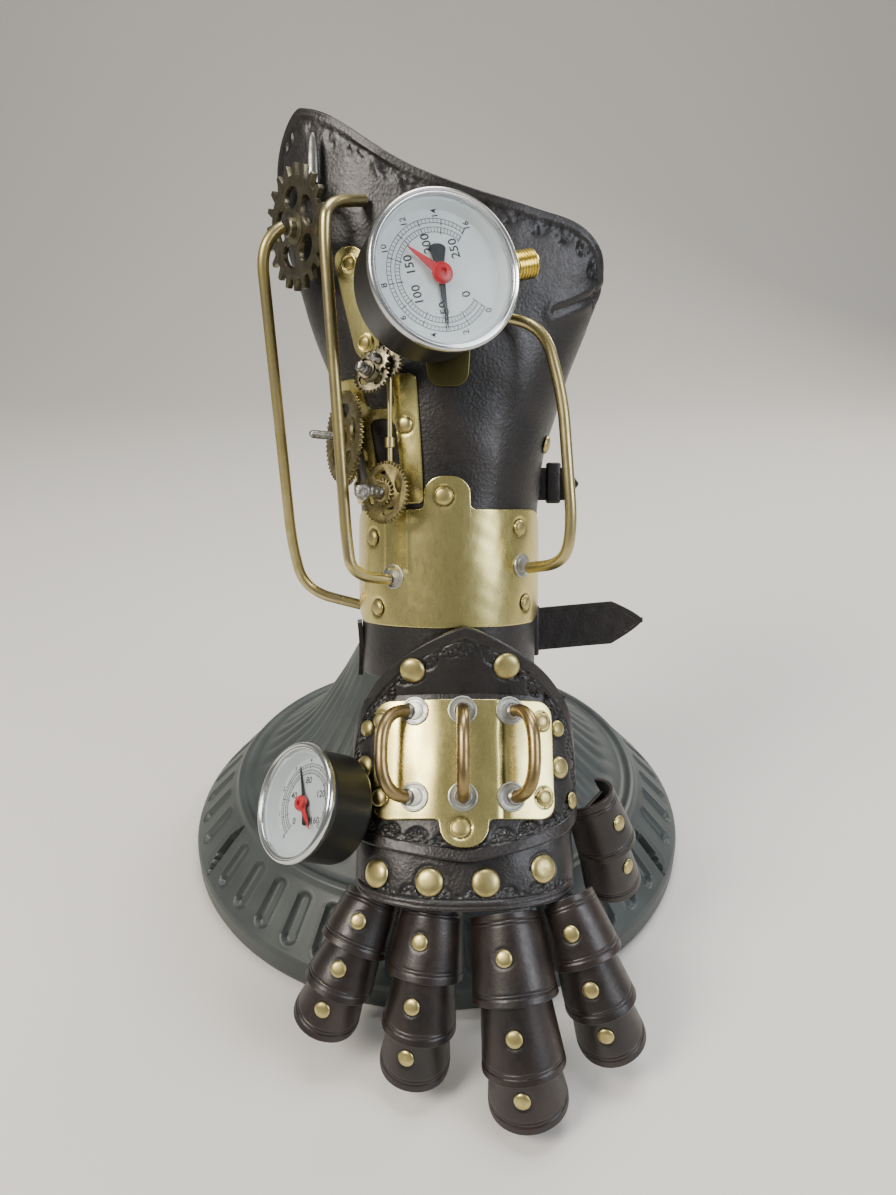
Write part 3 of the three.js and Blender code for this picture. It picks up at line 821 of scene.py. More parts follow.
@dataclass(frozen=True)
class Tooling:
    """A beaded line round a sheet's rim and a row of stamped scallops inside it.

    Attributes:
        band: Width of the plain raised band outside the line.
        pitch: Distance between scallops.
        radius: Radius of a scallop.
        depth: Depth of the stamp.
        spokes: Strokes of the stamp in half a turn.
    """

    band: float = 5.2
    pitch: float = 13.5
    radius: float = 5.6
    depth: float = 0.75
    spokes: int = 7

    def press(self, rim: Array, along: Array) -> Array:
        """Returns the relief at distances from the rim and ways round it."""
        lines = 0.8 * groove(rim - self.band, 0.55) + 0.35 * groove(rim - 1.9, 0.4)
        raised = 0.28 * (1 - smoothstep(rim, self.band - 0.5, self.band + 0.3))
        return raised - self.depth * np.maximum(lines, self.scallops(rim, along))

    def scallops(self, rim: Array, along: Array) -> Array:
        """Returns how deep the scallops are stamped, from 0 to 1."""
        x = (np.mod(along / self.pitch, 1) - 0.5) * self.pitch
        y = rim - self.band - 0.4
        reach = np.hypot(x, y)
        arc = groove(reach - self.radius, 0.5)
        inner = 0.8 * groove(reach - self.radius * 0.45, 0.42)
        stroke = 0.5 + 0.5 * np.cos(2 * self.spokes * np.arctan2(y, x))
        between = (reach > self.radius * 0.5) & (reach < self.radius * 0.94)
        fan = 0.95 * stroke**2 * between
        cusp = groove(np.hypot(self.pitch / 2 - np.abs(x), y - 1.2), 0.8)
        return np.where(y > 0, np.maximum.reduce([arc, inner, fan, 0.9 * cusp]), 0)


def ripple(points: Array, length: float, height: float, phase: float = 0) -> Array:
    """Returns soft waves over rows of points, as hand work leaves in a sheet."""
    x, y, z = (points * (2 * math.pi / length)).T
    waves = np.sin(x + 1.3 * z + phase) + np.sin(0.7 * z - 1.9 * x + 2.1 + phase)
    waves += 0.7 * np.sin(1.7 * z + 0.6 * x + 4.4 * phase + 0.4 * y)
    return height / 2.7 * waves


def plate_outline(left: float, right: float, bottom: float, top: float, corner: float,
                  tab: tuple[float, float, float] = (0, 0, 0)) -> Outline:
    """A plate with rounded corners and perhaps a round-ended tab above or below its middle.

    Args:
        left: Left side, in millimetres.
        right: Right side.
        bottom: Lower edge.
        top: Upper edge.
        corner: Radius of the corners.
        tab: Half the tab's width, how far it stands up, and how far down.

    Returns:
        The outline, whose first coordinate is in millimetres too.
    """
    half, upward, downward = tab
    fillet = 2.6

    def tongue(x: Array, length: float) -> Array:
        """Returns how far a tab stands out of the edge at each place."""
        if not length:
            return np.zeros_like(x)
        radius = half - 1.2
        flat = np.clip(np.abs(x) - (half - radius), 0, radius)
        crown = length - radius + np.sqrt(radius**2 - flat**2)
        foot = np.clip(half + fillet - np.abs(x), 0, fillet)
        return np.where(np.abs(x) <= half, crown, fillet - np.sqrt(fillet**2 - foot**2))

    def outline(a: Array, b: Array) -> Pair:
        """Returns surface coordinates for shares across and up."""
        x = left + (right - left) * a
        inside = np.clip(corner - np.minimum(x - left, right - x), 0, corner)
        pull = corner - np.sqrt(corner**2 - inside**2)
        middle = x - (left + right) / 2
        low = bottom + pull - tongue(middle, downward)
        high = top - pull + tongue(middle, upward)
        return x, low + (high - low) * b

    return outline


def wrapped_plate(angles: tuple[float, float], heights: tuple[float, float], corner: float, radius: float,
                  tab: tuple[float, float, float] = (0, 0, 0), turn: float = 0) -> Outline:
    """A plate with rounded corners that is wrapped round an arm.

    Args:
        angles: Its sides, in degrees.
        heights: Its lower and upper edges.
        corner: Radius of the corners.
        radius: Radius of the arm, which makes millimetres of the degrees.
        tab: The tab, as for plate_outline.
        turn: How far the plate is turned round the arm, in degrees.

    Returns:
        The outline.
    """
    scale = math.degrees(1 / radius)
    flat = plate_outline(angles[0] / scale, angles[1] / scale, *heights, corner, tab)

    def outline(a: Array, b: Array) -> Pair:
        """Returns surface coordinates for shares across and up."""
        x, z = flat(a, b)
        return x * scale + turn, z

    return outline


# ---- Small hardware -----------------------------------------------------------------------------------


@dataclass
class Hardware:
    """Rivets and washers, each modelled once at a size of 1 and copied to its places."""

    cap: Piece = field(init=False)
    washer: Piece = field(init=False)

    def __post_init__(self) -> None:
        """Models the patterns."""
        clear_selection()
        bpy.ops.mesh.primitive_uv_sphere_add(segments=28, ring_count=16, radius=1)
        self.cap = named("cap_pattern")
        with editing(self.cap):
            bpy.ops.mesh.bisect(plane_co=(0, 0, 0), plane_no=(0, 0, 1), clear_inner=True, use_fill=True)
        points = corners_of(self.cap)
        reach = np.hypot(points[:, 0], points[:, 1])
        points[:, 2] = np.clip(1 - reach**5, 0, 1) ** 0.62 * (1 - 0.3 * reach**2)
        set_corners(self.cap, points)
        self.washer = turned("washer_pattern", [(0, 0), (0.97, 0), (1, 0.3), (0.98, 0.85), (0.94, 1),
                                                (0.86, 0.95), (0.82, 0.45), (0.62, 0.4), (0.58, 0.9),
                                                (0.5, 1), (0, 1)], 44)

    def rivets(self, name: str, places: Seats, limb: Matrix) -> None:
        """Sets rivet heads as one mesh.

        Args:
            name: The piece's name.
            places: For each head its seat, its radius and its height.
            limb: The limb's frame.
        """
        fit(self.copies(name, self.cap, places), limb, RIVET_BRASS, Slot.BRASS)

    def washers(self, name: str, places: Seats, limb: Matrix) -> None:
        """Sets washers as one mesh; the arguments are those of rivets."""
        fit(self.copies(name, self.washer, places), limb, TURNED_ALUMINIUM, Slot.STEEL)

    def copies(self, name: str, pattern: Piece, places: Seats) -> Piece:
        """Returns copies of a pattern as one mesh."""
        return joined(name, [twin(pattern, seat @ Matrix.Diagonal((radius, radius, height, 1)))
                             for seat, radius, height in places])

    def put_away(self) -> None:
        """Throws the patterns away."""
        scrap(self.cap)
        scrap(self.washer)


def seating(seats: Seats, depth: float) -> Relief:
    """Returns the relief of a sheet that is drawn in a little round its rivets."""

    def relief(patch: Patch) -> Array:
        """Returns a ring pressed round each head and a shallow dish about it."""
        press = np.zeros(len(patch.rim))
        for seat, radius, _ in seats:
            gap = patch.beside(seat.translation)
            press -= depth * groove(gap - radius - 0.3, 0.6) + 0.5 * depth * groove(gap, radius * 1.6)
        return press

    return relief


def wheel(name: str, teeth: int, root: float, tip: float, thickness: float,
          windows: Sequence[tuple[float, float, float, float]] = ()) -> Piece:
    """Cuts a toothed wheel about Z, with its middle at 0.

    Args:
        name: The piece's name.
        teeth: Number of teeth.
        root: Radius between the teeth.
        tip: Radius at their tips.
        thickness: Thickness of the wheel.
        windows: For each window its angle in degrees, its radius, its length and its width.

    Returns:
        The wheel.
    """
    flanks = ((0.08, root), (0.24, tip), (0.5, tip), (0.66, root))
    rim = []
    for tooth in range(teeth):
        for share, radius in flanks:
            turn = (tooth + share) * 2 * math.pi / teeth
            rim.append((radius * math.cos(turn), radius * math.sin(turn), -thickness / 2))
    piece = stamped(name, np.array(rim), thickness)
    tools = []
    for turn, reach, length, width in windows:
        clear_selection()
        bpy.ops.mesh.primitive_cylinder_add(vertices=28, radius=0.5, depth=4 * thickness)
        tool = named("window_tool")
        shape = Matrix.Diagonal((width, length, 1, 1))
        spin = Matrix.Rotation(math.radians(turn), 4, "Z") @ Matrix.Translation((reach, 0, 0))
        tool.data.transform(spin @ shape)
        tools.append(tool)
    cut(piece, tools)
    ease_edges(piece, min(0.25, thickness / 7), angle=40)
    return piece


def stud(name: str, radius: float, start: float, end: float, lumps: float = 0.35,
         seed: int = 1) -> Piece:
    """A soldered stud about Z with a rough, half-melted skin.

    Args:
        name: The piece's name.
        radius: Radius of the stud.
        start: Height of its foot.
        end: Height of its end.
        lumps: Size of the lumps.
        seed: Which lumps.

    Returns:
        The stud.
    """
    count = 12
    heights = np.linspace(start, end, count)
    body = [(radius * (1 + 0.1 * math.sin(2.1 * place)), float(place)) for place in heights]
    piece = turned(name, [(0, start), *body, (radius * 0.6, end + radius * 0.5), (0, end + radius * 0.6)], 16)
    with editing(piece):
        bpy.ops.transform.vertex_random(offset=lumps, uniform=0.2, normal=0.8, seed=seed)
    machine(piece, "SUBSURF", levels=1, render_levels=1)
    return piece


# ---- Stand --------------------------------------------------------------------------------------------


@dataclass
class Stand:
    """The moulded base: a sloping band with slots, a ridge, and a fluted trumpet up to the neck."""

    slots: int = 45
    slot_half_width: float = 4.1
    slot_half_length: float = 13.5
    slot_depth: float = 2.6
    flute_depth: float = 1.5
    columns: int = 720
    slits: tuple[float, ...] = (-62.0, 62.0)
    post_radius: float = 10
    post_length: float = 190
    post_foot: tuple[float, float, float] = (0, 25, -132)
    skirt: tuple[tuple[float, float], ...] = ((142, 0), (144.2, 0.8), (145, 3), (145, 12.5), (144, 15),
                                              (120, 41), (118, 44.2), (115.5, 45), (113, 43.6), (111, 43.8))
    trumpet: tuple[tuple[float, float], ...] = ((111, 43.8), (101, 51), (88, 62), (73, 77), (57.5, 100),
                                                (47, 119), (41, 129.5), (39.5, 131))

    def profile(self) -> Array:
        """Returns the turned outline, from the middle of the underside up to the middle of the top."""
        skirt = np.array(self.skirt, float)
        rows = [np.array([[0, 0], [70, 0]])]
        for start, end in zip(skirt[:-1], skirt[1:]):
            count = max(1, round(float(np.linalg.norm(end - start)) / 0.85))
            rows.append(start + (end - start) * np.linspace(0, 1, count, endpoint=False)[:, None])
        rows.append(flowing(self.trumpet, 62))
        rows.append(np.array([[20, 131], [0, 131]]))
        return np.vstack(rows)

    def relief(self, radius: Array, height: Array, turn: Array) -> Array:
        """Returns how far the slots, flutes and slits stand in or out at each point.

        Args:
            radius: Distance from the axis.
            height: Height over the floor.
            turn: Angle round the axis, from the front.

        Returns:
            Heights along the outward direction.
        """
        pitch = 2 * math.pi / self.slots
        across = (np.mod(turn / pitch + 0.5, 1) - 0.5) * pitch
        middle_radius, middle_height, half_band = 132, 28, 17
        above = height - middle_height
        slope = np.hypot(radius - middle_radius, above) * np.sign(above)
        band = (radius > 118.5) & (height > 13)
        beyond = np.clip(np.abs(slope) - (self.slot_half_length - self.slot_half_width), 0, None)
        side = np.hypot(across * radius, beyond) - self.slot_half_width
        press = np.where(band, -self.slot_depth * (1 - smoothstep(side, -1.5, 0.35)), 0.0)
        press += np.where(band, 0.25 * groove(side - 0.8, 0.6), 0.0)

        rise = smoothstep(-radius, -107, -97) * smoothstep(radius, 44, 62)
        flute = 0.5 + 0.5 * np.cos(turn * self.slots + math.pi)
        dome = (height > 43.9) & (radius < 112)
        press += np.where(dome, -self.flute_depth * rise * flute**1.5, 0.0)

        for middle in self.slits:
            offset = (turn - math.radians(middle)) * radius * (1 if middle > 0 else -1)
            bow = 5.5 * np.clip(1 - (slope / half_band) ** 2, 0, 1)
            opening = smoothstep(offset, -0.4, 0.3) * smoothstep(bow - offset, -0.3, 0.4)
            inside = band & (np.abs(slope) < half_band)
            press = np.where(inside & (offset > -4) & (offset < 11), np.maximum(press, 0), press)
            press -= np.where(inside, 6 * opening, 0.0)
        return press

    def build(self, arm: Matrix) -> None:
        """Moulds the base, sets the post on it and dresses both.

        Args:
            arm: The forearm's frame, with which the post leans.
        """
        line = self.profile()
        clear_selection()
        bpy.ops.mesh.primitive_grid_add(x_subdivisions=self.columns, y_subdivisions=len(line) - 1, size=1)
        piece = named("stand_moulding")
        flat = corners_of(piece)
        row = np.rint((flat[:, 1] + 0.5) * (len(line) - 1)).astype(int)
        turn = flat[:, 0] * 2 * math.pi
        tangent = np.gradient(line, axis=0)
        tangent /= np.linalg.norm(tangent, axis=1, keepdims=True)
        out = np.stack([tangent[:, 1], -tangent[:, 0]], axis=1)
        press = self.relief(line[row, 0], line[row, 1], turn)
        radius = line[row, 0] + out[row, 0] * press
        height = line[row, 1] + out[row, 1] * press
        set_corners(piece, np.stack([radius * np.sin(turn), -radius * np.cos(turn), height], axis=1))
        with editing(piece):
            bpy.ops.mesh.remove_doubles(threshold=1e-3)

        post = turned("post", [(0, 0), (self.post_radius, 0), (self.post_radius, self.post_length - 1),
                               (self.post_radius - 1, self.post_length), (0, self.post_length)], 48)
        along = arm.to_3x3() @ Vector((0, 0, 1))
        post.data.transform(aimed(arm @ Vector(self.post_foot), along))
        whole = joined("display_stand", [piece, post])
        fit(whole, Matrix.Identity(4), STAND_PLASTIC, Slot.STAND, "stand", smooth=50)


# ---- Gauges -------------------------------------------------------------------------------------------


@dataclass
class Gauge:
    """A dial gauge that faces along its frame's Z, with its face at 0.

    Attributes:
        prefix: First words of its pieces' names.
        place: Its frame.
        radius: Radius of the case.
        depth: Depth of the case.
        black: Angle of the black pointer, in degrees from up, against the clock.
        red: Angle of the red set pointer.
        roll: How far the dial is turned against the clock.
        numbers: The dial's main numbers, in the clock's direction.
        small: Its outer numbers.
    """

    prefix: str
    place: Matrix
    radius: float
    depth: float
    black: float
    red: float
    roll: float
    numbers: tuple[int, ...]
    small: tuple[int, ...]
    well: float = -6.7
    dial_thickness: float = 1
    wall: float = 2
    sweep: float = 270
    scales: tuple[tuple[float, float], ...] = ((0.6, 0.67), (0.73, 0.79))

    @property
    def inside(self) -> float:
        """Radius inside the case's wall."""
        return self.radius - self.wall

    @property
    def face(self) -> float:
        """Height of the dial's face."""
        return self.well + self.dial_thickness

    def build(self) -> None:
        """Makes the gauge's pieces."""
        self.case()
        self.bezel()
        self.dial()
        self.lens()
        self.pointers()

    def case(self) -> None:
        """Draws the case as a deep cup with a rolled back edge and two beads."""
        r, d = self.radius, self.depth
        profile = [(0, -d), (r - 4, -d), (r - 1.6, 0.5 - d), (r - 0.4, 1.6 - d), (r, 3 - d), (r, -4.2),
                   (r + 0.25, -3.8), (r + 0.25, -2.2), (r, -1.2), (self.inside, -1.2), (self.inside, -7),
                   (0, -7)]
        piece = turned(f"{self.prefix}_cup", profile, 96)
        ease_edges(piece, 0.3)
        fit(piece, self.place, CASE_ENAMEL, Slot.BLACK, f"{self.prefix}_case")

    def bezel(self) -> None:
        """Turns the steel ring that holds the glass."""
        lip = self.radius + 1.8
        profile = [(lip - 2.7, -0.9), (lip - 0.4, -0.9), (lip, -0.4), (lip + 0.1, 0.8), (lip - 0.2, 1.7),
                   (lip - 0.7, 2.3), (lip - 1.2, 2.4), (lip - 1.5, 2.1), (lip - 1.75, 1.9), (lip - 2.0, 2.0),
                   (lip - 2.5, 1.9), (lip - 2.9, 1.4), (lip - 2.9, 0.95)]
        piece = turned(f"{self.prefix}_ring", profile, 112)
        fit(piece, self.place, POLISHED_STEEL, Slot.STEEL, f"{self.prefix}_bezel", smooth=50)

    def dial(self) -> None:
        """Lays the painted dial in the case and prints its scales."""
        rim = self.inside - 0.3
        lip = self.radius - 0.6
        edge = [(0, self.well), (rim, self.well), (rim, -1.15), (lip, -1.15), (lip, -0.7), (rim - 0.2, -0.7),
                (rim - 1.5, self.face + 0.6), (rim - 2, self.face), (0, self.face)]
        disc = turned(f"{self.prefix}_plate", edge, 96)
        fit(disc, self.place, DIAL_PAINT, Slot.DIAL, f"{self.prefix}_dial", smooth=50)
        marks = [*self.ticks(), *self.arcs()]
        step = self.sweep / (len(self.numbers) - 1)
        for index, number in enumerate(self.numbers):
            marks.append(self.figure(str(number), index * step, 0.46, 0.14))
        step = self.sweep / (len(self.small) - 1)
        for index, number in enumerate(self.small):
            marks.append(self.figure(str(number), index * step, 0.86, 0.1))
        printed = joined(f"{self.prefix}_print", marks)
        fit(printed, self.place, DIAL_INK, Slot.BLACK)

    def direction(self, travel: float) -> float:
        """Returns the angle on the face, in radians from its X, after a travel from the scale's start."""
        return math.radians(self.roll + 90 + self.sweep / 2 - travel)

    def ticks(self) -> list[Piece]:
        """Returns the scale's strokes."""
        strokes = []
        count, thin, thick = 60, 0.2, 0.36
        for start, end in self.scales:
            for index in range(count + 1):
                long = index % 6 == 0
                overrun = 0.03 if long else 0
                travel = index * self.sweep / count
                strokes.append(self.stroke(travel, start - overrun, end, thick if long else thin))
        return strokes

    def stroke(self, travel: float, start: float, end: float, width: float) -> Piece:
        """Returns one radial stroke, between two shares of the dial's radius."""
        clear_selection()
        bpy.ops.mesh.primitive_cube_add(size=1)
        mark = named("stroke")
        length = (end - start) * self.inside
        middle = (start + end) / 2 * self.inside
        turn = Matrix.Rotation(self.direction(travel), 4, "Z")
        shape = Matrix.Diagonal((length, width, 0.06, 1))
        mark.data.transform(turn @ Matrix.Translation((middle, 0, self.face + 0.04)) @ shape)
        return mark

    def arcs(self) -> list[Piece]:
        """Returns the fine circles that run along the scale."""
        lines = []
        for share in (share for scale in self.scales for share in scale):
            turns = np.radians(np.linspace(0, self.sweep, 70))
            start = self.direction(0)
            ring = share * self.inside
            line = np.stack([ring * np.cos(start - turns), ring * np.sin(start - turns),
                             np.full(len(turns), self.face + 0.03)], axis=1)
            lines.append(wire("scale_line", line, 0.12, 1))
        return lines

    def figure(self, words: str, travel: float, share: float, size: float) -> Piece:
        """Returns a number on the dial.

        Args:
            words: The number.
            travel: Its place along the scale, in degrees.
            share: Its distance from the middle, as a share of the radius.
            size: Its height, as a share of the radius.

        Returns:
            The number as a flat mesh.
        """
        clear_selection()
        bpy.ops.object.text_add()
        text = bpy.context.object
        text.data.body = words
        text.data.size = size * self.inside * 1.35
        text.data.offset = 0.012 * text.data.size
        text.data.align_x = "CENTER"
        text.data.align_y = "CENTER"
        text.data.extrude = 0.03
        text.data.resolution_u = 2
        bpy.ops.object.convert(target="MESH")
        mark = named("figure")
        angle = self.direction(travel)
        ring = share * self.inside
        spot = Matrix.Translation((ring * math.cos(angle), ring * math.sin(angle), self.face + 0.04))
        mark.data.transform(spot @ Matrix.Rotation(math.radians(self.roll), 4, "Z"))
        return mark

    def lens(self) -> None:
        """Sets the glass in the ring, slightly crowned."""
        rim = self.radius - 1.3
        profile = [(0, -0.6), (rim, -0.6), (rim, 0.6), (rim - 0.3, 0.9), (rim * 0.5, 1.25), (0, 1.35)]
        piece = turned(f"{self.prefix}_glass", profile, 96)
        fit(piece, self.place, GAUGE_GLASS, Slot.GLASS, f"{self.prefix}_lens", smooth=40)

    def needle(self, name: str, reach: float, outline: Sequence[tuple[float, float]], height: float,
               thickness: float = 0.5) -> Piece:
        """Stamps a pointer that points along Y.

        Args:
            name: Its name.
            reach: Distance from the hub to its tip.
            outline: Half widths and places of its right side, from the tail to just before the tip.
            height: Height of its underside.
            thickness: Thickness of the metal.

        Returns:
            The pointer.
        """
        left = [(-x, y) for x, y in reversed(outline) if x]
        rim = [*outline, (0, reach), *left]
        piece = stamped(name, np.array([[x, y, height] for x, y in rim], float), thickness)
        ease_edges(piece, 0.12, 1)
        return piece

    def pointers(self) -> None:
        """Sets the black pointer with its spade tail and the red one with its hub."""
        size = self.inside
        spade = [(0, -0.43 * size)]
        for turn in np.linspace(12, 100, 7):
            angle = math.radians(turn)
            spade.append((0.125 * size * math.sin(angle), size * (-0.36 - 0.07 * math.cos(angle))))
        blade = [(0.05 * size, -0.06 * size), (0.05 * size, 0.1 * size), (0.02 * size, 0.6 * size)]
        black = self.needle("black_needle", 0.8 * size, [*spade, *blade], self.face + 0.8)
        pin = turned("pin", [(0, self.face), (0.09 * size, self.face), (0.09 * size, -4.1), (0, -4.1)], 24)
        whole = joined(f"{self.prefix}_black_hand", [black, pin])
        turn = Matrix.Rotation(math.radians(self.black), 4, "Z")
        fit(whole, self.place @ turn, POINTER_BLACK, Slot.BLACK, f"{self.prefix}_pointer")

        tail = [(0, -0.1 * size), (0.075 * size, 0), (0.06 * size, 0.2 * size), (0.025 * size, 0.5 * size)]
        red = self.needle("red_needle", 0.62 * size, tail, -3.3)
        hub = turned("hub", [(0.045 * size, -3.6), (0.15 * size, -3.6), (0.155 * size, -2.6),
                             (0.13 * size, -1.5), (0.1 * size, -1.2), (0.06 * size, -1.2),
                             (0.045 * size, -1.6)], 36)
        knob = turned("knob", [(0, -3.5), (0.05 * size, -3.5), (0.05 * size, -2.4), (0, -2.3)], 20)
        whole = joined(f"{self.prefix}_red_hand", [red, hub, knob])
        turn = Matrix.Rotation(math.radians(self.red), 4, "Z")
        fit(whole, self.place @ turn, POINTER_RED, Slot.RED, f"{self.prefix}_set_pointer")

    def fitting(self, roll: float, drop: float) -> None:
        """Screws the threaded brass fitting into the side of the case.

        Args:
            roll: Its angle on the face, in degrees from X.
            drop: How far behind the face its middle lies.
        """
        start = self.radius + 0.3
        profile = [(0, start), (5.6, start), (5.6, start + 2.4), (7.3, start + 2.6), (7.6, start + 3.2),
                   (7.6, start + 6.2), (7.3, start + 6.8), (5.6, start + 7)]
        thread_start, pitch, turns = start + 7.4, 1.35, 7
        for index in range(turns):
            foot = thread_start + index * pitch
            profile += [(5.3, foot), (6.1, foot + 0.45), (6.1, foot + 0.7), (5.3, foot + 1.15)]
        end = thread_start + turns * pitch
        profile += [(5.1, end + 0.2), (4.6, end + 0.9), (2.6, end + 0.9), (2.6, end - 5), (0, end - 5)]
        piece = turned("threaded_fitting", profile, 48)
        sideways = Matrix.Translation((0, 0, -drop)) @ Matrix.Rotation(math.radians(roll), 4, "Z")
        sideways = sideways @ Matrix.Rotation(math.pi / 2, 4, "Y")
        fit(piece, self.place @ sideways, THREAD_BRASS, Slot.BRASS, "upper_gauge_fitting", smooth=25)


# ---- Forearm ------------------------------------------------------------------------------------------


@dataclass
class Forearm:
    """The long guard from the wrist to the flared cuff, with its plates, tubes and wheels."""

    hardware: Hardware
    origin: tuple[float, float, float] = (7, -51, 197)
    lean: float = 20
    wrist_half_width: float = 39.5
    wrist_depth: float = 38
    wing_half_width: float = 77
    wing_depth: float = 43
    flare: tuple[float, float] = (20, 180)
    right_flatness: float = 0.42
    bottom: float = -52
    leather: float = 2.4
    brass: float = 1
    strap: float = 1.6
    gap: float = 0.3
    tube_radius: float = 2.5
    frame_radius: float = 41

    @property
    def place(self) -> Matrix:
        """The forearm's frame."""
        return leaning(self.origin, self.lean)

    def surface(self, angle: Array, z: Array) -> Array:
        """Returns the leather's inner face for angles in degrees from the front and heights."""
        flared = smoothstep(z, *self.flare)
        width = self.wrist_half_width + (self.wing_half_width - self.wrist_half_width) * flared
        depth = self.wrist_depth + (self.wing_depth - self.wrist_depth) * flared
        turn = np.radians(angle)
        flatness = self.right_flatness * smoothstep(z, 60, 150) * smoothstep(angle, 20, 70)
        arch = np.cos(turn) + flatness * (1 - np.cos(turn))
        return np.stack([width * np.sin(turn), -depth * arch, z + 0 * angle], axis=-1)

    def outline(self, a: Array, b: Array) -> Pair:
        """The shield wraps almost round the wrist and opens behind the elbow."""
        side = 2 * a - 1
        left_corner = 51 * np.clip((-side - 0.6) / 0.4, 0, None) ** 1.5
        corner = left_corner + 34 * np.clip((side - 0.4) / 0.6, 0, None) ** 2.2
        peak = 11 * np.exp(-(((side + 0.46) / 0.26) ** 2))
        top = 162 - 35 * side + 22 * side**2 + peak - corner
        z = self.bottom + (top - self.bottom) * b
        half = 150 - 44 * smoothstep(z, 0, 85) - 14 * smoothstep(z, 85, 150)
        return side * half, z

    def build(self) -> None:
        """Makes the forearm's pieces."""
        self.shell()
        self.wrist_plate()
        self.frame_plate()
        self.bracket()
        self.straps()
        self.tubes()
        self.wheels()
        self.upper_gauge()

    def plate(self, outline: Outline, width: float, height: float, **more: object) -> Sheet:
        """Returns a brass sheet that lies on the leather."""
        settings = {"thickness": self.brass, "lift": self.leather + self.gap, "rounding": 0.4, "step": 0.75}
        return Sheet(self.surface, outline, width, height, **{**settings, **more})

    def shell(self) -> None:
        """Tools the leather of the arm guard, with a crease below its right corner."""
        tooling = Tooling(band=4.4, pitch=13.5, radius=5.2, depth=0.75)
        fold_start, fold_end = np.array([46.0, 112.0]), np.array([84.0, 125.0])

        def relief(patch: Patch) -> Array:
            """Adds the tooling above the wrist, the crease, and the hide's own waves."""
            above = smoothstep(patch.z, 44, 52)
            press = above * tooling.press(patch.rim, patch.along)
            way = fold_end - fold_start
            spot = np.stack([patch.x, patch.z], axis=1) - fold_start
            share = np.clip(spot @ way / (way @ way), 0, 1)
            gap = np.linalg.norm(spot - share[:, None] * way, axis=1)
            crease = groove(gap, 1.0) * 0.6 - 0.5 * groove(gap - 3.4, 2.2)
            return press - crease + ripple(patch.points, 64, 0.5) + ripple(patch.points, 27, 0.08, 1.7)

        shell = Sheet(self.surface, self.outline, 200, 200, self.leather, step=0.95, row_step=1.25,
                      rounding=0.9, relief=relief)
        fit(shell.build("arm_guard"), self.place, ARMOUR_LEATHER, Slot.ARMOUR, "forearm_shell")
        button = [(shell.seat(76.5, 56, 0.1), 4.2, 1.7)]
        self.hardware.rivets("cuff_rivet", button, self.place)

    def wrist_plate(self) -> None:
        """Beats the wide plate over the wrist and rivets it down."""
        half_angle, tab_half_width = 86, 9.5
        reach = math.radians(half_angle) * self.wrist_half_width
        outline = wrapped_plate((-half_angle, half_angle), (-27, 25.5), corner=17,
                                radius=self.wrist_half_width, tab=(tab_half_width, 14.5, 0), turn=-1)
        bare = self.plate(outline, 2 * reach, 53)
        places = [(-53.5, 12.6), (-49, -19.2), (48, 17.1), (55, -17.3), (-3, 31.2)]
        seats = [(bare.seat(x, z, -0.15), 3.7 if z < 30 else 4.1, 1.6) for x, z in places]
        drawn = seating(seats, 0.4)

        def relief(patch: Patch) -> Array:
            """Adds the hammer's waves, the rivets' seats and a raised panel on the left."""
            panel = smoothstep(patch.x, -42.5, -40.5) * smoothstep(-patch.x, 23.5, 25.5)
            panel *= smoothstep(patch.z, -3.5, -0.5)
            line = groove(patch.x + 24.5, 1.6) * smoothstep(patch.z, -4, 0)
            waves = ripple(patch.points, 45, 0.12, 0.6) + ripple(patch.points, 13, 0.03, 2.2)
            return drawn(patch) + 0.5 * panel + 0.3 * line + waves

        dense = (reach - tab_half_width - 0.7, reach + tab_half_width + 0.7)
        sheet = replace(bare, relief=relief, dense=dense)
        fit(sheet.build("wrist_cover"), self.place, SHEET_BRASS, Slot.BRASS, "wrist_plate")
        self.hardware.rivets("wrist_rivets", seats, self.place)
        rings = [(bare.seat(-35, -4.5, -0.1), 5.6, 0.8), (bare.seat(50, 0, -0.1), 5.6, 0.8)]
        self.hardware.washers("tube_washers", rings, self.place)

    def pane(self, left: float, right: float, low: float, high: float, corner: float) -> Piece:
        """Returns a tool that cuts a round-cornered window between two angles and two heights."""
        outline = wrapped_plate((left, right), (low, high), corner, self.frame_radius)
        width = math.radians(right - left) * self.frame_radius
        tool = Sheet(self.surface, outline, width, high - low, 7, step=1.6, rounding=0.01)
        return tool.build("pane_tool")

    def frame_plate(self) -> None:
        """Makes the plate that carries the wheels, with its windows and its rivet."""
        outline = wrapped_plate((-84, -15), (28, 84), corner=2.5, radius=self.frame_radius)
        bare = self.plate(outline, 49, 56, lift=self.leather + 2 * self.gap)
        seats = [(bare.seat(-23, 62.4, -0.1), 3.8, 1.7), (bare.seat(-78, 74, -0.1), 3.2, 1.3),
                 (bare.seat(-78, 36, -0.1), 3.2, 1.3)]
        drawn = seating(seats, 0.25)

        def relief(patch: Patch) -> Array:
            """Adds the rivets' seats and light waves."""
            return drawn(patch) + ripple(patch.points, 26, 0.14, 3.1)

        piece = replace(bare, relief=relief).build("movement_frame")
        cut(piece, [self.pane(-45, -27, 69.5, 80, 3.5), self.pane(-46, -28, 41, 65.5, 5),
                    self.pane(-74, -55, 36, 76, 4)])
        fit(piece, self.place, SHEET_BRASS, Slot.BRASS, "frame_plate")
        self.hardware.rivets("frame_rivets", seats, self.place)

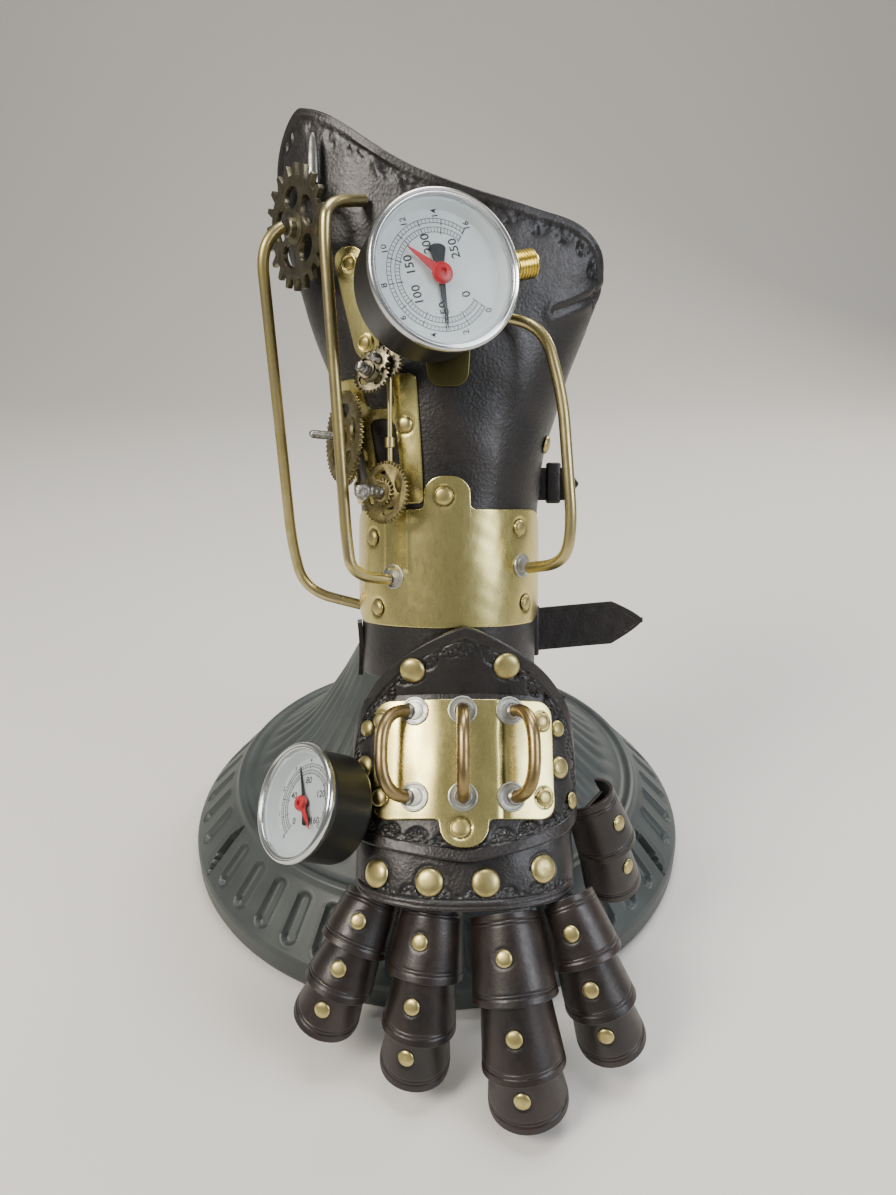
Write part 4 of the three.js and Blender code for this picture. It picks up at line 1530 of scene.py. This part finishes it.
    def bracket(self) -> None:
        """Makes the riveted strip above the frame, with two eyelets."""
        sheet = self.plate(wrapped_plate((-44, -30), (91, 138), corner=6.4, radius=60), 15, 47)
        piece = sheet.build("eyelet_bracket")
        rings = [sheet.seat(-37, z, 0.1) for z in (131, 98)]
        eyes = []
        for seat in rings:
            clear_selection()
            bpy.ops.mesh.primitive_torus_add(major_radius=3.4, minor_radius=0.95, major_segments=32,
                                             minor_segments=12)
            eye = named("eyelet")
            eye.data.transform(seat)
            eyes.append(eye)
        fit(joined("eyelet_strip", [piece, *eyes]), self.place, SHEET_BRASS, Slot.BRASS, "upper_bracket")
        self.hardware.rivets("eyelet_pins", [(seat, 2.6, 0.9) for seat in rings], self.place)

    def straps(self) -> None:
        """Cuts the two straps, their buckles and the small flap behind the wrist."""
        self.strap_piece("wrist_belt", "wrist_strap", z=-37, half=11, angles=(122, 246), end=(34, 25.6),
                         length=66, point=16, curl=0, rise=0.09)
        self.strap_piece("upper_belt", "upper_strap", z=38, half=8, angles=(107, 252), end=(42.6, 13.4),
                         length=21, point=6, curl=-0.012, rise=0)
        self.buckle("wrist_buckle_frame", "wrist_buckle", z=-37, half=11, angle=222)
        self.buckle("upper_buckle_frame", "upper_buckle", z=38, half=8, angle=205)

        def flap(x: Array, z: Array) -> Array:
            """Returns the flap's inner face."""
            return np.stack([-44.4 - 0.1 * x - 0.004 * (z + 15) ** 2, -4 + x, -27 + z], axis=-1)

        def leaf(a: Array, b: Array) -> Pair:
            """Returns the flap's outline, which narrows downwards."""
            half = 7.5 * (1 - 0.75 * (1 - b) ** 2)
            return half - 2 * half * a, -27 + 25.5 * b

        sheet = Sheet(flap, leaf, 14, 26, self.strap, step=0.7, rounding=0.6,
                      relief=lambda patch: -0.3 * groove(patch.rim - 2, 0.5))
        fit(sheet.build("side_flap"), self.place, ARMOUR_LEATHER, Slot.ARMOUR, "wrist_flap")

    def strap_piece(self, name: str, node: str, z: float, half: float, angles: tuple[float, float],
                    end: tuple[float, float], length: float, point: float, curl: float,
                    rise: float) -> None:
        """Cuts one strap with its pointed free end.

        Args:
            name: The piece's name.
            node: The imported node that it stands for.
            z: Height of its middle.
            half: Half its width.
            angles: Where its loop starts and ends round the arm.
            end: Where its free end starts, across and back.
            length: Length of the free end.
            point: Length of its point.
            curl: How quickly it curls forwards.
            rise: How quickly it rises.
        """
        def crease(patch: Patch) -> Array:
            """Presses a line along both edges."""
            return -0.3 * groove(patch.rim - 2.2, 0.5) + ripple(patch.points, 17, 0.12)

        def band(a: Array, b: Array) -> Pair:
            """Returns the loop's outline."""
            return angles[0] + (angles[1] - angles[0]) * a, z + half * (2 * b - 1)

        loop = Sheet(self.surface, band, 90, 2 * half, self.strap, self.leather + self.gap, step=1.1,
                     rounding=0.5, relief=crease)

        def free(x: Array, height: Array) -> Array:
            """Returns the inner face of the free end."""
            sway = 1.1 * np.sin(x / 21) * (x > 0)
            return np.stack([end[0] + x, end[1] + curl * x**2 + sway, z + height + rise * x], axis=-1)

        def tip(a: Array, b: Array) -> Pair:
            """Returns the outline of the free end."""
            x = a * length
            narrow = np.clip((length - x) / point, 0.06, 1) ** 0.75
            return x, half * narrow * (2 * b - 1)

        loose = Sheet(free, tip, length, 2 * half, self.strap, step=0.9, rounding=0.5, relief=crease)
        keeper = self.keeper(z, half, end)
        whole = joined(name, [loop.build("loop"), loose.build("free_end"), keeper])
        fit(whole, self.place, ARMOUR_LEATHER, Slot.ARMOUR, node)

    def keeper(self, z: float, half: float, end: tuple[float, float]) -> Piece:
        """Returns the small leather loop that holds a strap's free end near its root."""
        clear_selection()
        bpy.ops.mesh.primitive_cube_add(size=1)
        loop = named("keeper")
        shape = Matrix.Diagonal((7, 2 * self.strap + 2.6, 2 * half + 4, 1))
        loop.data.transform(Matrix.Translation((end[0] + 9, end[1], z + 0.5)) @ shape)
        ease_edges(loop, 1.1, 3)
        return loop

    def buckle(self, name: str, node: str, z: float, half: float, angle: float) -> None:
        """Bends a wire buckle with its prong and seats it on a strap.

        Args:
            name: The piece's name.
            node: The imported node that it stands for.
            z: Height of its middle.
            half: Half the strap's width.
            angle: Its place round the arm.
        """
        over = self.leather + self.gap + 5.4
        seat = Sheet(self.surface, self.outline, 1, 1, 0, over).seat(angle, z)
        high = half + 2
        ring = bent_route([(0, high, 0), (6.6, high, 0), (6.6, -high, 0), (-6.6, -high, 0), (-6.6, high, 0),
                           (0, high, 0)], 3)
        frame_wire = wire("frame_wire", ring[:-1], 1.15, 4, closed=True)
        way = np.array([(-6.4, 0, 0.2), (-2, 0, 1), (4, 0, 1), (7.4, 0, 1.2)], float)
        prong = wire("prong", way, 0.85, 4)
        whole = joined(name, [frame_wire, prong])
        fit(whole, self.place @ seat, RIVET_BRASS, Slot.BRASS, node, smooth=60)

    def tubes(self) -> None:
        """Bends the three tubes."""
        routes = {
            "tube_outer": ([(-71.2, -38, 145.3), (-80, -42, 139), (-75, -4, 8), (-70, 2, -14),
                            (-43, 3, -21)], 14),
            "tube_inner": ([(-36, -42, 155), (-49, -62, 148), (-50, -62, 135), (-44, -48, 12),
                            (-42, -47, -3), (-27, -34, -6)], 12),
            "tube_right": ([(26, -44, 106), (40, -48, 102), (48, -50, 72), (52.5, -51, 18), (50, -46, 2),
                            (36, -28.5, -1)], 12),
        }
        for node, (corners, bend) in routes.items():
            line = bent_route(corners, bend, 12)
            fit(wire(f"{node}_pipe", line, self.tube_radius, 7), self.place, TUBE_BRASS, Slot.TUBE, node,
                smooth=60)

    def geared(self, name: str, node: str, spot: Sequence[float], direction: Sequence[float],
               parts: Sequence[Piece], finish: Finish = GEAR_BRONZE) -> None:
        """Joins a wheel and its hub and sets them on their axis."""
        whole = joined(name, list(parts))
        fit(whole, self.place @ aimed(spot, direction), finish, Slot.BRONZE, node, smooth=30)

    def wheels(self) -> None:
        """Cuts the sprocket, the clock wheels, their studs, the rod and the spike."""
        openings = ((13.4, 9.8), (12, 9), (13.8, 10), (12.4, 8.8), (13, 9.6))
        windows = [(72 * k + 20, 12.5, length, width) for k, (length, width) in enumerate(openings)]
        sprocket = wheel("sprocket_body", teeth=20, root=21.1, tip=25.8, thickness=2.6, windows=windows)
        boss = turned("boss", [(0, -4), (5.2, -4), (5.2, -1.3), (7, -1.3), (7, 1.6), (4.6, 2.4), (4.2, 4.6),
                               (3.6, 5.2), (0, 5.2)], 40)
        self.geared("chain_sprocket", "big_sprocket", (-65.5, -34.5, 146), (-0.79, -0.6, -0.1),
                    [sprocket, boss], SPROCKET_BRONZE)

        clock_axis = (-0.87, -0.48, 0.05)
        windows = [(72 * k + 12, 11.8, 11, 6.4) for k in range(5)]
        clock = wheel("clock_body", teeth=56, root=19.2, tip=20.6, thickness=1.6, windows=windows)
        hub = turned("hub", [(0, -2.5), (4, -2.5), (4, -0.8), (5.4, -0.8), (5.4, 1.6), (3.4, 1.9), (3.4, 3.2),
                             (0, 3.2)], 32)
        pinion = wheel("clock_pinion", teeth=14, root=3.6, tip=4.8, thickness=1.4)
        pinion.data.transform(Matrix.Translation((0, 0, 2.4)))
        spot = (-47, -27.5, 57.6)
        self.geared("clock_gear", "clock_wheel", spot, clock_axis, [clock, hub, pinion])
        screw = stud("clock_stud", radius=1.9, start=3, end=15.2, lumps=0.14, seed=3)
        fit(screw, self.place @ aimed(spot, clock_axis), ROUGH_SOLDER, Slot.STEEL)

        windows = [(90 * k, 7, 5.5, 3.6) for k in range(4)]
        rear = wheel("rear_body", teeth=40, root=11.6, tip=12.9, thickness=1.4, windows=windows)
        self.geared("rear_gear", "rear_wheel", (-46.6, -18, 49), clock_axis, [rear])

        spot, axis = (-27.5, -45.5, 32.5), (-0.62, -0.78, 0.08)
        windows = [(90 * k + 20, 8.2, 7, 3.2) for k in range(4)]
        lower = wheel("lower_body", teeth=44, root=12.3, tip=13.6, thickness=1.6, windows=windows)
        ring = wheel("lower_pinion", teeth=18, root=4.9, tip=6, thickness=1.6)
        ring.data.transform(Matrix.Translation((0, 0, 1.5)))
        hub = turned("hub", [(0, -4), (4.2, -4), (4.2, 2.6), (3.4, 3.4), (0, 3.4)], 32)
        self.geared("lower_gear", "lower_wheel", spot, axis, [lower, ring, hub])
        screw = stud("screw", radius=2.5, start=2, end=13.5, lumps=0.5, seed=7)
        blob = stud("blob", radius=3.3, start=11.5, end=14.4, lumps=0.5, seed=11)
        blob.data.transform(Matrix.Translation((-1.2, -0.8, 0)))
        fit(joined("lower_stud", [screw, blob]), self.place @ aimed(spot, axis), ROUGH_SOLDER, Slot.STEEL)

        spot, axis = (-32.5, -50.5, 82.8), (-0.45, -0.88, 0.12)
        windows = [(90 * k + 45, 5.4, 4.6, 2.9) for k in range(4)]
        cluster = wheel("cluster_body", teeth=30, root=8, tip=9.1, thickness=1.6, windows=windows)
        behind = wheel("cluster_rear", teeth=26, root=6.6, tip=7.8, thickness=1.6)
        behind.data.transform(Matrix.Translation((5.5, 4.2, -2.8)))
        crown = wheel("cluster_crown", teeth=12, root=4.4, tip=5.6, thickness=1.8)
        crown.data.transform(Matrix.Translation((4.6, 4.4, 1.9)))
        hub = turned("hub", [(0, -5), (4.6, -5), (4.6, 1.4), (3.6, 3), (3.6, 4.2), (0, 4.2)], 28)
        self.geared("cluster_train", "cluster_gear", spot, axis, [cluster, behind, crown, hub],
                    SPROCKET_BRONZE)
        screw = stud("screw", radius=2.4, start=2, end=9, lumps=0.35, seed=5)
        second = stud("screw_two", radius=2, start=1.5, end=6.5, lumps=0.4, seed=9)
        second.data.transform(Matrix.Translation((4.6, 4.4, 0)))
        fit(joined("cluster_studs", [screw, second]), self.place @ aimed(spot, axis), ROUGH_SOLDER,
            Slot.STEEL)

        rod = turned("rod", [(0, 41), (1.2, 41), (1.2, 51.6), (2.2, 52), (2.2, 56), (1.2, 56.4), (1.2, 88),
                             (0, 88)], 24)
        rod.data.transform(Matrix.Translation((-25.5, -43, 0)))
        fit(rod, self.place, TUBE_BRASS, Slot.BRONZE, "frame_rod")
        spike = turned("spike", [(0, -2), (2.5, -2), (2.6, -1), (2.5, 1), (2.3, 8), (2, 13), (1.5, 16.4),
                                 (0.8, 18.4), (0, 19)], 28)
        spike.data.transform(Matrix.Translation((-58, -36.5, 166)) @ Matrix.Diagonal((1, 0.6, 1, 1)))
        fit(spike, self.place, DULL_STEEL, Slot.STEEL, "cuff_spike", smooth=50)

    def upper_gauge(self) -> None:
        """Mounts the large gauge on its strip."""
        centre, normal = (-1.5, -80.5, 116.3), (0.37, -0.923, 0.08)
        gauge = Gauge("upper_gauge", self.place @ aimed(centre, normal), radius=29.5, depth=27, black=187,
                      red=58, roll=105, numbers=(0, 50, 100, 150, 200, 250), small=tuple(range(0, 17, 2)))
        gauge.build()
        gauge.fitting(roll=15, drop=14)
        shape = wrapped_plate((-10, 9), (78, 128), corner=6, radius=52)
        strip = self.plate(shape, 17, 50).build("mount_strip")
        boss = turned("mount_boss",
                      [(0, -39), (8.4, -39), (9, -38.4), (9, -28), (8.4, -27.4), (0, -27.4)], 48)
        boss.data.transform(aimed(centre, normal))
        # The strip and boss take the darker olive brass: painted shade for the shadow under the gauge.
        fit(joined("gauge_foot", [strip, boss]), self.place, SHADED_OLIVE_BRASS, Slot.BRASS, "gauge_mount")


# ---- Hand ---------------------------------------------------------------------------------------------


@dataclass
class Hand:
    """The pointed guard over the back of the hand, its plate, its handles and the knuckle band."""

    hardware: Hardware
    origin: tuple[float, float, float] = (14, -103, 165)
    lean: float = 41
    half_width: float = 49
    depth: float = 25
    tip: float = 18.6
    tip_lift: float = 13.5
    shoulder: float = -9
    leather: float = 2.4
    brass: float = 1
    gap: float = 0.3

    @property
    def place(self) -> Matrix:
        """The hand's frame."""
        return leaning(self.origin, self.lean)

    def surface(self, angle: Array, z: Array) -> Array:
        """Returns the guard's inner face: a shallow arch whose tip stands up over the wrist."""
        turn = np.radians(angle)
        rise = np.clip((z - self.shoulder) / (self.tip - self.shoulder), 0, None)
        y = self.depth * (1 - np.cos(turn)) - self.tip_lift * rise**1.05
        return np.stack([self.half_width * np.sin(turn), y, z + 0 * angle], axis=-1)

    def sprung(self, angle: Array, z: Array) -> Array:
        """Returns the guard's inner face with its lower edge sprung off the knuckle band."""
        points = self.surface(angle, z)
        points[..., 1] -= 2 * smoothstep(-z, 62, 82)
        return points

    def build(self) -> None:
        """Makes the hand's pieces."""
        self.guard()
        self.plate()
        self.band()
        self.handles()
        place = self.place @ aimed((-72.5, -1.5, -56.3), (-0.7, -0.709, 0.1))
        gauge = Gauge("lower_gauge", place, radius=24, depth=24, black=20, red=215, roll=0,
                      numbers=(0, 40, 80, 120, 160), small=tuple(range(9)))
        gauge.build()

    def guard(self) -> None:
        """Tools the pointed guard and rivets it."""
        def outline(a: Array, b: Array) -> Pair:
            """A pointed arch above and a shallow vee below."""
            side = np.abs(2 * a - 1)
            high = self.tip - 40 * side**1.25 - 18 * side**6
            low = -81 + 13 * side**1.2 + 6 * side**8 + 7 * np.clip(2 * a - 1, 0, 1) ** 1.5
            return 92 * (2 * a - 1), low + (high - low) * b

        bare = Sheet(self.sprung, outline, 118, 98, self.leather)
        places = [(-27.6, 1.6, 5.8, 2), (21.8, 3.2, 6, 2), (56, -23.3, 3.8, 1.5), (57, -40.6, 4.9, 1.8),
                  (71, -54.6, 3.8, 1.5), (-60, -23, 3.8, 1.5), (-62, -40, 4.9, 1.8)]
        seats = [(bare.seat(x, z, -0.2), radius, height) for x, z, radius, height in places]
        drawn = seating(seats, 0.3)
        tooling = Tooling()

        def relief(patch: Patch) -> Array:
            """Adds the tooling, a fan under the point and the rivets' seats."""
            x, z = patch.points[:, 0], patch.z
            reach = np.hypot(x, z - (self.tip - 8))
            stroke = 0.5 + 0.5 * np.cos(11 * np.arctan2(x, self.tip - 8 - z) * 2)
            fan = -0.45 * stroke**2 * ((z < self.tip - 8) & (reach > 1.2) & (reach < 6))
            press = tooling.press(patch.rim, patch.along)
            return np.minimum(press, fan) + drawn(patch) + ripple(patch.points, 41, 0.3, 2.6)

        sheet = replace(bare, step=0.62, rounding=0.9, relief=relief)
        fit(sheet.build("back_guard"), self.place, ARMOUR_LEATHER, Slot.ARMOUR, "hand_guard")
        self.hardware.rivets("guard_rivets", seats, self.place)

    def plate(self) -> None:
        """Bends the plate with its tab, rivets it and lays the handles' washers."""
        outline = plate_outline(left=-38, right=37, bottom=-63.5, top=-12, corner=6.5, tab=(10, 0, 12))

        def turned_outline(a: Array, b: Array) -> Pair:
            """Turns the plate's millimetres into degrees."""
            x, z = outline(a, b)
            return np.degrees(np.arcsin(x / self.half_width)), z

        lift = self.leather + 3 * self.gap
        bare = Sheet(self.sprung, turned_outline, 82, 52, self.brass, lift)
        places = [(41.5, -20.8, 3.6), (42, -54.1, 3.8), (-46.5, -20.4, 3.6), (-46.5, -54, 3.8),
                  (-2.4, -67.4, 4.2)]
        seats = [(bare.seat(x, z, -0.15), radius, 1.3) for x, z, radius in places]
        drawn = seating(seats, 0.4)

        def relief(patch: Patch) -> Array:
            """Adds two long bends, the rivets' seats and the hammer's waves."""
            x = patch.points[:, 0]
            bends = -0.45 * groove(x - 16.5, 1.6) + 0.3 * groove(x + 12, 5) - 0.3 * groove(x + 24, 4)
            return drawn(patch) + bends + ripple(patch.points, 33, 0.16, 1.1)

        sheet = replace(bare, step=0.7, dense=(31, 51.5), rounding=0.4, relief=relief)
        fit(sheet.build("back_plate"), self.place, SHEET_BRASS, Slot.BRASS, "hand_plate")
        self.hardware.rivets("plate_rivets", seats, self.place)
        rings = [(bare.seat(angle, z, -0.05), 6.4, 0.8)
                 for angle in (-25.4, -1.2, 22.8) for z in (-17, -54)]
        self.hardware.washers("handle_washers", rings, self.place)

    def band(self) -> None:
        """Tools the band over the knuckles and sets its four large rivets."""
        def outline(a: Array, b: Array) -> Pair:
            """Returns the band's outline, which curves up at both ends."""
            side = 2 * a - 1
            low = -101 + 12 * side**2
            return 90 * side, low + (-70 + 8 * side**2 - low) * b

        bare = Sheet(self.surface, outline, 118, 31, self.leather, -self.leather - self.gap)
        places = [(-52, -85.7), (-18.4, -88.9), (10.2, -89.1), (43.8, -83.7)]
        seats = [(bare.seat(x, z, -0.2), 6.1, 1.9) for x, z in places]
        drawn = seating(seats, 0.35)
        tooling = Tooling(band=4.4, pitch=14.5, radius=4.6, depth=0.7)

        def relief(patch: Patch) -> Array:
            """Adds the tooling above the lower edge and the rivets' seats."""
            low = 1 - smoothstep(patch.z, -90, -86)
            press = low * tooling.press(patch.rim, patch.along)
            return press + drawn(patch) + ripple(patch.points, 29, 0.3, 0.9)

        sheet = replace(bare, step=0.66, rounding=0.9, relief=relief)
        fit(sheet.build("knuckle_strip"), self.place, ARMOUR_LEATHER, Slot.ARMOUR, "knuckle_band")
        self.hardware.rivets("knuckle_rivets", seats, self.place)

    def handles(self) -> None:
        """Bends the three grab handles and solders their feet."""
        top, bottom, rise, bend, radius = -17, -54, 20, 17, 2.8
        solder = []
        tilts = (("handle_left", -21, -48), ("handle_middle", -1, 0), ("handle_right", 19, 30))
        for node, x, tilt in tilts:
            angle = math.degrees(math.asin(x / self.half_width))
            foot = self.surface(np.array([angle]), np.array([-30.0]))[0]
            lean = math.radians(tilt)
            out = np.array([math.sin(lean), -math.cos(lean), 0])
            start = self.leather + self.brass + 3 * self.gap + abs(tilt) * 0.02
            stops = [(top, start), (top, rise), (bottom, rise), (bottom, start)]
            route = [tuple(foot * (1, 1, 0) + out * height + np.array([0, 0, z])) for z, height in stops]
            line = bent_route(route, bend, 16)
            fit(wire(f"{node}_rod", line, radius, 8), self.place, HANDLE_COPPER, Slot.HANDLE, node,
                smooth=60)
            for z in (top, bottom):
                collar = turned("solder", [(0, 0), (radius + 0.9, 0), (radius + 0.6, 0.5),
                                           (radius + 0.2, 0.9), (0, 1)], 24)
                spot = foot * (1, 1, 0) + out * (start + 0.4) + np.array([0, 0, z])
                collar.data.transform(aimed(spot, out))
                solder.append(collar)
        fit(joined("handle_solder", solder), self.place, ROUGH_SOLDER, Slot.STEEL)


# ---- Fingers ------------------------------------------------------------------------------------------


@dataclass
class Digit:
    """A finger or thumb of half-round lames that tuck under one another.

    Attributes:
        name: First word of its pieces' names.
        start: Its knuckle.
        splay: How far it spreads sideways, in degrees.
        turn: How far it turns about the upright.
        half_width: Half the width of its first lame.
        depth: Depth of a lame.
        lames: Length and lean from upright of each lame.
        rivet_angle: Angle round each lame at which its rivet sits.
        rivet_ways: How far down each lame its rivet sits, as a share of the lame's length.
    """

    hardware: Hardware
    name: str
    start: tuple[float, float, float]
    splay: float
    turn: float
    half_width: float
    depth: float
    lames: tuple[tuple[float, float], ...]
    rivet_angle: float
    rivet_ways: tuple[float, ...] = (0.47, 0.42, 0.38)
    thickness: float = 1.8
    strap: float = 1.6

    @property
    def place(self) -> Matrix:
        """The digit's frame."""
        turn = Matrix.Rotation(math.radians(self.turn), 4, "Z")
        splay = Matrix.Rotation(math.radians(self.splay), 4, "Y")
        return Matrix.Translation(self.start) @ turn @ splay

    def joints(self) -> Array:
        """Returns the joints from the knuckle to the tip."""
        spots = [np.zeros(3)]
        for length, lean in self.lames:
            angle = math.radians(lean)
            spots.append(spots[-1] - length * np.array([0, math.sin(angle), math.cos(angle)]))
        return np.array(spots)

    def build(self) -> None:
        """Makes the lames, their rivets and the strip that they are riveted to."""
        spots = self.joints()
        heads = []
        for index, (length, lean) in enumerate(self.lames):
            segment = leaning(spots[index], lean)
            sheet = self.lame(index, length)
            node = f"{self.name}_plate_{index + 1}"
            fit(sheet.build(f"{self.name}_lame_{index + 1}"), self.place @ segment, LAME_LEATHER, Slot.LAME,
                node)
            seat = sheet.seat(self.rivet_angle, -length * self.rivet_ways[index], -0.25)
            heads.append((segment @ seat, 3.6, 1.1))
        self.hardware.rivets(f"{self.name}_rivets", heads, self.place)
        self.strip(spots)

    def lame(self, index: int, length: float) -> Sheet:
        """Returns one lame, narrower at its top so that it tucks under the one above.

        Args:
            index: Its number from the knuckle.
            length: Its length.

        Returns:
            The sheet.
        """
        tucked = index > 0
        last = index == len(self.lames) - 1
        overlap = 5 if tucked else 1
        half_width = self.half_width - 0.4 * index
        step_back = 4 if tucked else 1.4

        def surface(angle: Array, z: Array) -> Array:
            """Returns the lame's outer face."""
            taper = np.clip((z + length) / length, 0, 1.2)
            turn = np.radians(angle)
            half = half_width - (self.thickness + 2) * taper
            y = self.depth * (1 - np.cos(turn)) + step_back * taper
            return np.stack([half * np.sin(turn), y, z], axis=-1)

        def outline(a: Array, b: Array) -> Pair:
            """Returns the lame's outline, with slightly bowed ends."""
            side = 2 * a - 1
            low = -length + 3 * side**2 + (3 * np.abs(side) ** 5 if last else 0)
            return 96 * side, low + (overlap - 2 * side**2 - low) * b

        def relief(patch: Patch) -> Array:
            """Presses the double line near each end and dimples the leather at the rivet."""
            up = patch.z + length - 3 * (patch.x / 96) ** 2
            down = overlap - 2 * (patch.x / 96) ** 2 - patch.z
            lines = groove(up - 3.4, 0.32) + 0.6 * groove(up - 4.8, 0.28)
            if not tucked:
                lines = lines + 0.8 * groove(down - 3.2, 0.32) + 0.6 * groove(down - 4.8, 0.28)
            gap = np.hypot((patch.x - self.rivet_angle) * 0.28, patch.z + length * self.rivet_ways[index])
            dimple = 0.25 * groove(gap - 3.9, 0.6) + 0.2 * groove(gap, 6)
            phase = index + len(self.name)
            return -0.32 * lines - dimple + ripple(patch.points, 34, 0.14, phase)

        return Sheet(surface, outline, 52, length + overlap, self.thickness, -self.thickness, step=0.9,
                     row_step=0.42, rounding=0.45, relief=relief)

    def strip(self, spots: Array) -> None:
        """Cuts the flexible strip under the lames."""
        line = flowing(spots + np.array([0, self.thickness + 9.5, 0]), 80)
        shares_along = np.linspace(0, 1, len(line))

        def surface(x: Array, along: Array) -> Array:
            """Returns the strip's face; the second coordinate runs from the tip to the knuckle."""
            place = np.clip(1 - along, 0, 1)
            return np.stack([x, np.interp(place, shares_along, line[:, 1]),
                             np.interp(place, shares_along, line[:, 2])], axis=-1)

        def outline(a: Array, b: Array) -> Pair:
            """Returns the strip's outline."""
            return 12 * a - 6, 0.08 + 0.82 * b

        sheet = Sheet(surface, outline, 12, 60, self.strap, -self.strap, step=1.2, rounding=0.4)
        fit(sheet.build(f"{self.name}_backing"), self.place, ARMOUR_LEATHER, Slot.ARMOUR,
            f"{self.name}_strip")


def digits(hardware: Hardware) -> list[Digit]:
    """Returns the four fingers and the thumb."""
    return [
        Digit(hardware, "little", (-26.5, -153, 81.8), splay=17, turn=-16, half_width=16.6, depth=15,
              lames=((25, 42), (22, 30), (21, 16)), rivet_angle=-6),
        Digit(hardware, "ring", (0, -163, 85), splay=5, turn=-6, half_width=17.2, depth=16,
              lames=((31, 38), (27, 24), (23, 10)), rivet_angle=-14),
        Digit(hardware, "middle", (30.5, -170, 88), splay=-7, turn=2, half_width=18.8, depth=17,
              lames=((36, 42), (32, 28), (23, 12)), rivet_angle=-10),
        Digit(hardware, "index", (59, -159, 86), splay=-14, turn=14, half_width=17, depth=16,
              lames=((29, 38), (25, 26), (24, 12)), rivet_angle=-18),
        Digit(hardware, "thumb", (82, -119, 108), splay=-10, turn=48, half_width=16.6, depth=16,
              lames=((30, 18), (28, 6)), rivet_angle=0),
    ]


# ---- Studio -------------------------------------------------------------------------------------------


@dataclass
class Studio:
    """A plain pale sweep, soft lights and the camera, in metres."""

    eye: tuple[float, float, float] = (0.0066, -0.451, 0.368)
    pitch: float = 25.4
    lens: float = 27.02
    sensor: float = 36
    floor: str = "#d8d5cf"

    def build(self) -> None:
        """Sets the studio up."""
        self.sweep()
        self.lights()
        self.camera()

    def sweep(self) -> None:
        """Rolls out a floor that curves up into a backdrop."""
        clear_selection()
        bpy.ops.mesh.primitive_plane_add(size=4, location=(0, 0, 0))
        floor = named("sweep")
        with editing(floor):
            bpy.ops.mesh.select_mode(type="EDGE")
            bpy.ops.mesh.select_all(action="DESELECT")
        back = 1.9
        for edge in floor.data.edges:
            edge.select = all(floor.data.vertices[index].co.y > back for index in edge.vertices)
        take_up(floor)
        bpy.ops.object.mode_set(mode="EDIT")
        bpy.ops.mesh.extrude_region_move(TRANSFORM_OT_translate={"value": (0, 0, 3)})
        bpy.ops.object.mode_set(mode="OBJECT")
        machine(floor, "BEVEL", width=0.9, segments=16, limit_method="ANGLE", angle_limit=math.radians(40))
        bpy.ops.object.shade_smooth()
        paper = Moulded("studio_paper", colour=self.floor, worn=self.floor, rough=0.8, relief=0.00002)
        floor.data.materials.append(paper.material())

    def lights(self) -> None:
        """Hangs the soft lights and sets the room's own glow."""
        lamps = (
            ("key", (-0.85, -0.75, 1.15), 0.6, 24, "#fff6ea"),
            ("fill", (1.0, -0.7, 0.75), 0.7, 10, "#f1f5ff"),
            ("top", (0.1, 0.15, 1.4), 0.8, 14, "#ffffff"),
            ("rim", (0.9, 0.9, 0.9), 0.6, 10, "#fff8ee"),
        )
        aim = Vector((0.01, -0.05, 0.2))
        for name, place, size, power, colour in lamps:
            bpy.ops.object.light_add(type="AREA", location=place)
            lamp = bpy.context.object
            lamp.name = name
            lamp.data.shape = "DISK"
            lamp.data.size = size
            lamp.data.energy = power
            lamp.data.color = linear(colour)[:3]
            lamp.rotation_euler = (Vector(place) - aim).to_track_quat("Z", "Y").to_euler()
        world = bpy.data.worlds.new("room")
        world.use_nodes = True
        world.node_tree.nodes["Background"].inputs["Color"].default_value = linear("#dfe0e0")
        world.node_tree.nodes["Background"].inputs["Strength"].default_value = 0.34
        bpy.context.scene.world = world

    def camera(self) -> None:
        """Places the camera in front and above, looking down at the hand."""
        clear_selection()
        bpy.ops.object.camera_add(location=self.eye, rotation=(math.radians(90 - self.pitch), 0, 0))
        camera = bpy.context.object
        camera.name = "camera"
        camera.data.sensor_width = self.sensor
        camera.data.lens = self.lens
        camera.data.clip_start = 0.01
        bpy.context.scene.camera = camera


def main() -> None:
    """Builds the gauntlet, its stand and the studio."""
    logging.basicConfig(level=logging.INFO, format="%(name)s %(message)s")
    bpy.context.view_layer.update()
    hardware = Hardware()
    forearm = Forearm(hardware)
    Stand().build(forearm.place)
    forearm.build()
    Hand(hardware).build()
    for digit in digits(hardware):
        digit.build()
    hardware.put_away()
    Studio().build()


if __name__ == "__main__":
    main()
